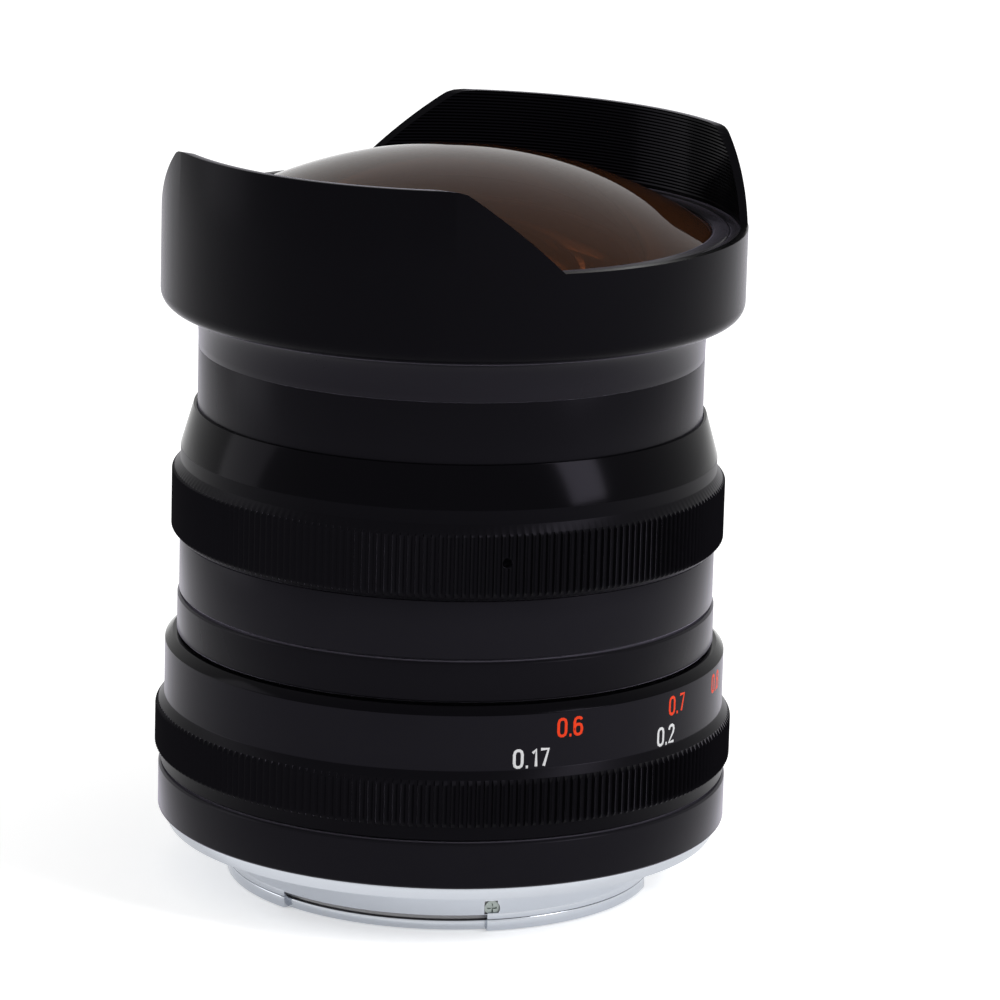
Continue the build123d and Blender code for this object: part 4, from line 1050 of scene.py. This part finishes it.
class Scales:
    """Distance scale on the focus ring, stops on the aperture ring, and the marks they are read at."""

    metres: tuple[tuple[str, float], ...] = (
        ("0.17", -38.5), ("0.2", -5.2), ("0.3", 40.0), ("0.5", 64.9), ("1", 78.7), ("~", 90.0))
    feet: tuple[tuple[str, float], ...] = (
        ("0.6", -30.4), ("0.7", -1.7), ("0.8", 17.6), ("1", 39.5), ("1.5", 60.5), ("3", 76.5), ("~", 90.0))
    stops: tuple[str, ...] = ("2.8", "4", "5.6", "8", "11", "16")
    stop_pitch: float = 7.0
    zero: float = 90.0
    band_radius: float = 35.8
    metres_low: float = 23.55
    feet_low: float = 27.15
    stops_low: float = 56.7
    mark_width: float = 0.3
    marks: tuple[tuple[str, Body, float, float, float], ...] = (
        ("focus_index", Body.MOUNT, 34.3, 32.4, 36.0), ("stop_index", Body.FRONT, 34.1, 41.4, 44.0))

    def build(self, finishes: Finishes) -> None:
        """Paint all the numbers and marks."""
        white = finishes.white_paint
        band = Numbers(self.band_radius)
        for i, (text, angle) in enumerate(self.metres):
            band.write(text, angle, self.metres_low, f"metres_{i + 1}", Body.FOCUS, white)
        for i, (text, angle) in enumerate(self.feet):
            band.write(text, angle, self.feet_low, f"feet_{i + 1}", Body.FOCUS, finishes.red_paint)
        for name, body, radius, low, high in self.marks:
            Numbers(radius).line(self.zero, low, high, self.mark_width, name, body, white)
        cone = Numbers(radius=33.93, height=1.9, stroke=0.28, slope=0.29)
        for i, text in enumerate(self.stops):
            angle = self.zero - self.stop_pitch * i
            cone.write(text, angle, self.stops_low, f"stop_{i + 1}", Body.APERTURE, white)


class Carried:
    """CAD nodes that keep their shape and get a better finish."""

    def build(self, finishes: Finishes) -> None:
        """Dress every CAD node that nothing stands for."""
        choice = {
            Slot.BLACK: finishes.inner, Slot.BRIGHT: finishes.bright, Slot.COATED: finishes.front_glass,
            Slot.GLASS: finishes.glass, Slot.RUBBER: finishes.rubber, Slot.BRASS: finishes.brass,
            Slot.STEEL: finishes.steel, Slot.BLADE: finishes.blade, Slot.MATT: finishes.matt,
        }
        # The aperture pin takes the near-black matt, painted shade in its hole; the side screw keeps its own
        # grey.
        special = {"aperture_pin": finishes.slit, "mount_side_screw": finishes.screw}
        slots = {row["node"]: Slot(row["material_slot"]) for row in frame["record"]["subparts"]}
        for node, thing in frame["nodes"].items():
            material = special.get(node, choice[slots[node]])
            for slot in thing.material_slots:
                slot.material = material
            log.info("%s keeps its shape, %s", node, material.name)


@dataclass(frozen=True)
class Softbox:
    """An upright softbox aimed at the middle of the lens.

    Azimuth and height are in degrees, with azimuth 0 in front and 90 at the right. Distance and size are in
    metres, and power in watts.
    """

    name: str
    azimuth: float
    height: float
    distance: float
    size: tuple[float, float]
    power: float
    middle: tuple[float, float, float] = (0.0, 0.0, 0.06)

    def place(self) -> None:
        """Add the lamp to the scene."""
        data = bpy.data.lights.new(self.name, "AREA")
        data.shape = "RECTANGLE"
        data.size, data.size_y = self.size
        data.energy = self.power
        lamp = bpy.data.objects.new(self.name, data)
        link(lamp)
        a, e = radians(self.azimuth), radians(self.height)
        middle = Vector(self.middle)
        spot = middle + self.distance * Vector((sin(a) * cos(e), -cos(a) * cos(e), sin(e)))
        lamp.matrix_world = Matrix.LocRotScale(spot, (middle - spot).to_track_quat("-Z", "Y"), None)


@dataclass
class Studio:
    """Camera, lamps, floor and background."""

    azimuth: float = 33.5
    fall: float = 13.81
    distance: float = 0.68773
    height: float = 0.21794
    tilt: float = -0.011
    pan: float = -0.5355
    roll: float = 1.46
    lens: float = 200.0
    sensor: float = 36.0
    clip: float = 0.02
    surroundings: float = 0.75
    floor_tone: float = 0.93
    floor_glow: float = 0.36
    floor_half: float = 6.0
    floor_drop: float = 0.0002
    lamps: tuple[Softbox, ...] = (
        Softbox("softbox_right", 95.0, 30.0, 0.95, (0.28, 0.66), 6.0),
        Softbox("softbox_left", -66.0, 20.0, 1.1, (0.5, 0.9), 2.4),
    )

    def build(self) -> None:
        """Set up the whole studio."""
        self._camera()
        self._world()
        self._floor()
        for lamp in self.lamps:
            lamp.place()
        bpy.context.scene.view_settings.view_transform = "Standard"

    def _camera(self) -> None:
        """Camera at the photograph's place and angle."""
        a, e = radians(self.azimuth), radians(self.fall)
        back = Vector((sin(a) * cos(e), -cos(a) * cos(e), sin(e)))
        right = Vector((cos(a), sin(a), 0.0))
        up = back.cross(right)
        basis = Matrix((right, up, back)).transposed()
        turn = Euler((radians(self.tilt), radians(self.pan), radians(self.roll))).to_matrix()
        data = bpy.data.cameras.new("camera")
        data.lens = self.lens
        data.sensor_width = self.sensor
        data.clip_start = self.clip
        camera = bpy.data.objects.new("camera", data)
        link(camera)
        place = Vector((sin(a) * self.distance, -cos(a) * self.distance, self.height))
        camera.matrix_world = Matrix.LocRotScale(place, (basis @ turn).to_quaternion(), None)
        bpy.context.scene.camera = camera

    def _world(self) -> None:
        """Even pale surroundings, white where they are seen or mirrored."""
        world = bpy.data.worlds.new("surroundings")
        bpy.context.scene.world = world
        world.use_nodes = True
        recipe = Recipe(world.node_tree)
        path = recipe.add("ShaderNodeLightPath")
        outputs = path.socket.node.outputs
        seen = Signal(recipe, outputs["Is Camera Ray"]).highest(Signal(recipe, outputs["Is Glossy Ray"]))
        seen = seen.highest(Signal(recipe, outputs["Is Transmission Ray"]))
        strength = self.surroundings + seen * (1 - self.surroundings)
        light = recipe.add("ShaderNodeBackground", {}, {"Color": (1, 1, 1, 1), "Strength": strength})
        recipe.add("ShaderNodeOutputWorld", {}, {"Surface": light})

    def _floor(self) -> None:
        """Pale floor that keeps the lens's shadow."""
        material, recipe = fresh("floor_white")
        matt = recipe.add("ShaderNodeBsdfDiffuse", {}, {"Color": (*(self.floor_tone,) * 3, 1.0)})
        glow = recipe.add("ShaderNodeEmission", {}, {"Color": (1, 1, 1, 1), "Strength": self.floor_glow})
        both = recipe.add("ShaderNodeAddShader", {}, {0: matt, 1: glow})
        recipe.add("ShaderNodeOutputMaterial", {}, {"Surface": both})
        bm = bmesh.new()
        bmesh.ops.create_grid(bm, x_segments=1, y_segments=1, size=self.floor_half)
        mesh = bpy.data.meshes.new("floor")
        bm.to_mesh(mesh)
        bm.free()
        mesh.materials.append(material)
        floor = bpy.data.objects.new("floor", mesh)
        link(floor)
        floor.location.z = -self.floor_drop


def main() -> None:
    """Build the lens's looks in order, from the bayonet forwards."""
    finishes = Finishes()
    Carried().build(finishes)
    for group in (Bayonet(), Barrels(), FocusRing(), ApertureRing(), Hood(), Optics(), Scales()):
        group.build(finishes)
        log.info("%s done", type(group).__name__)
    Studio().build()


if __name__ == "__main__":
    main()
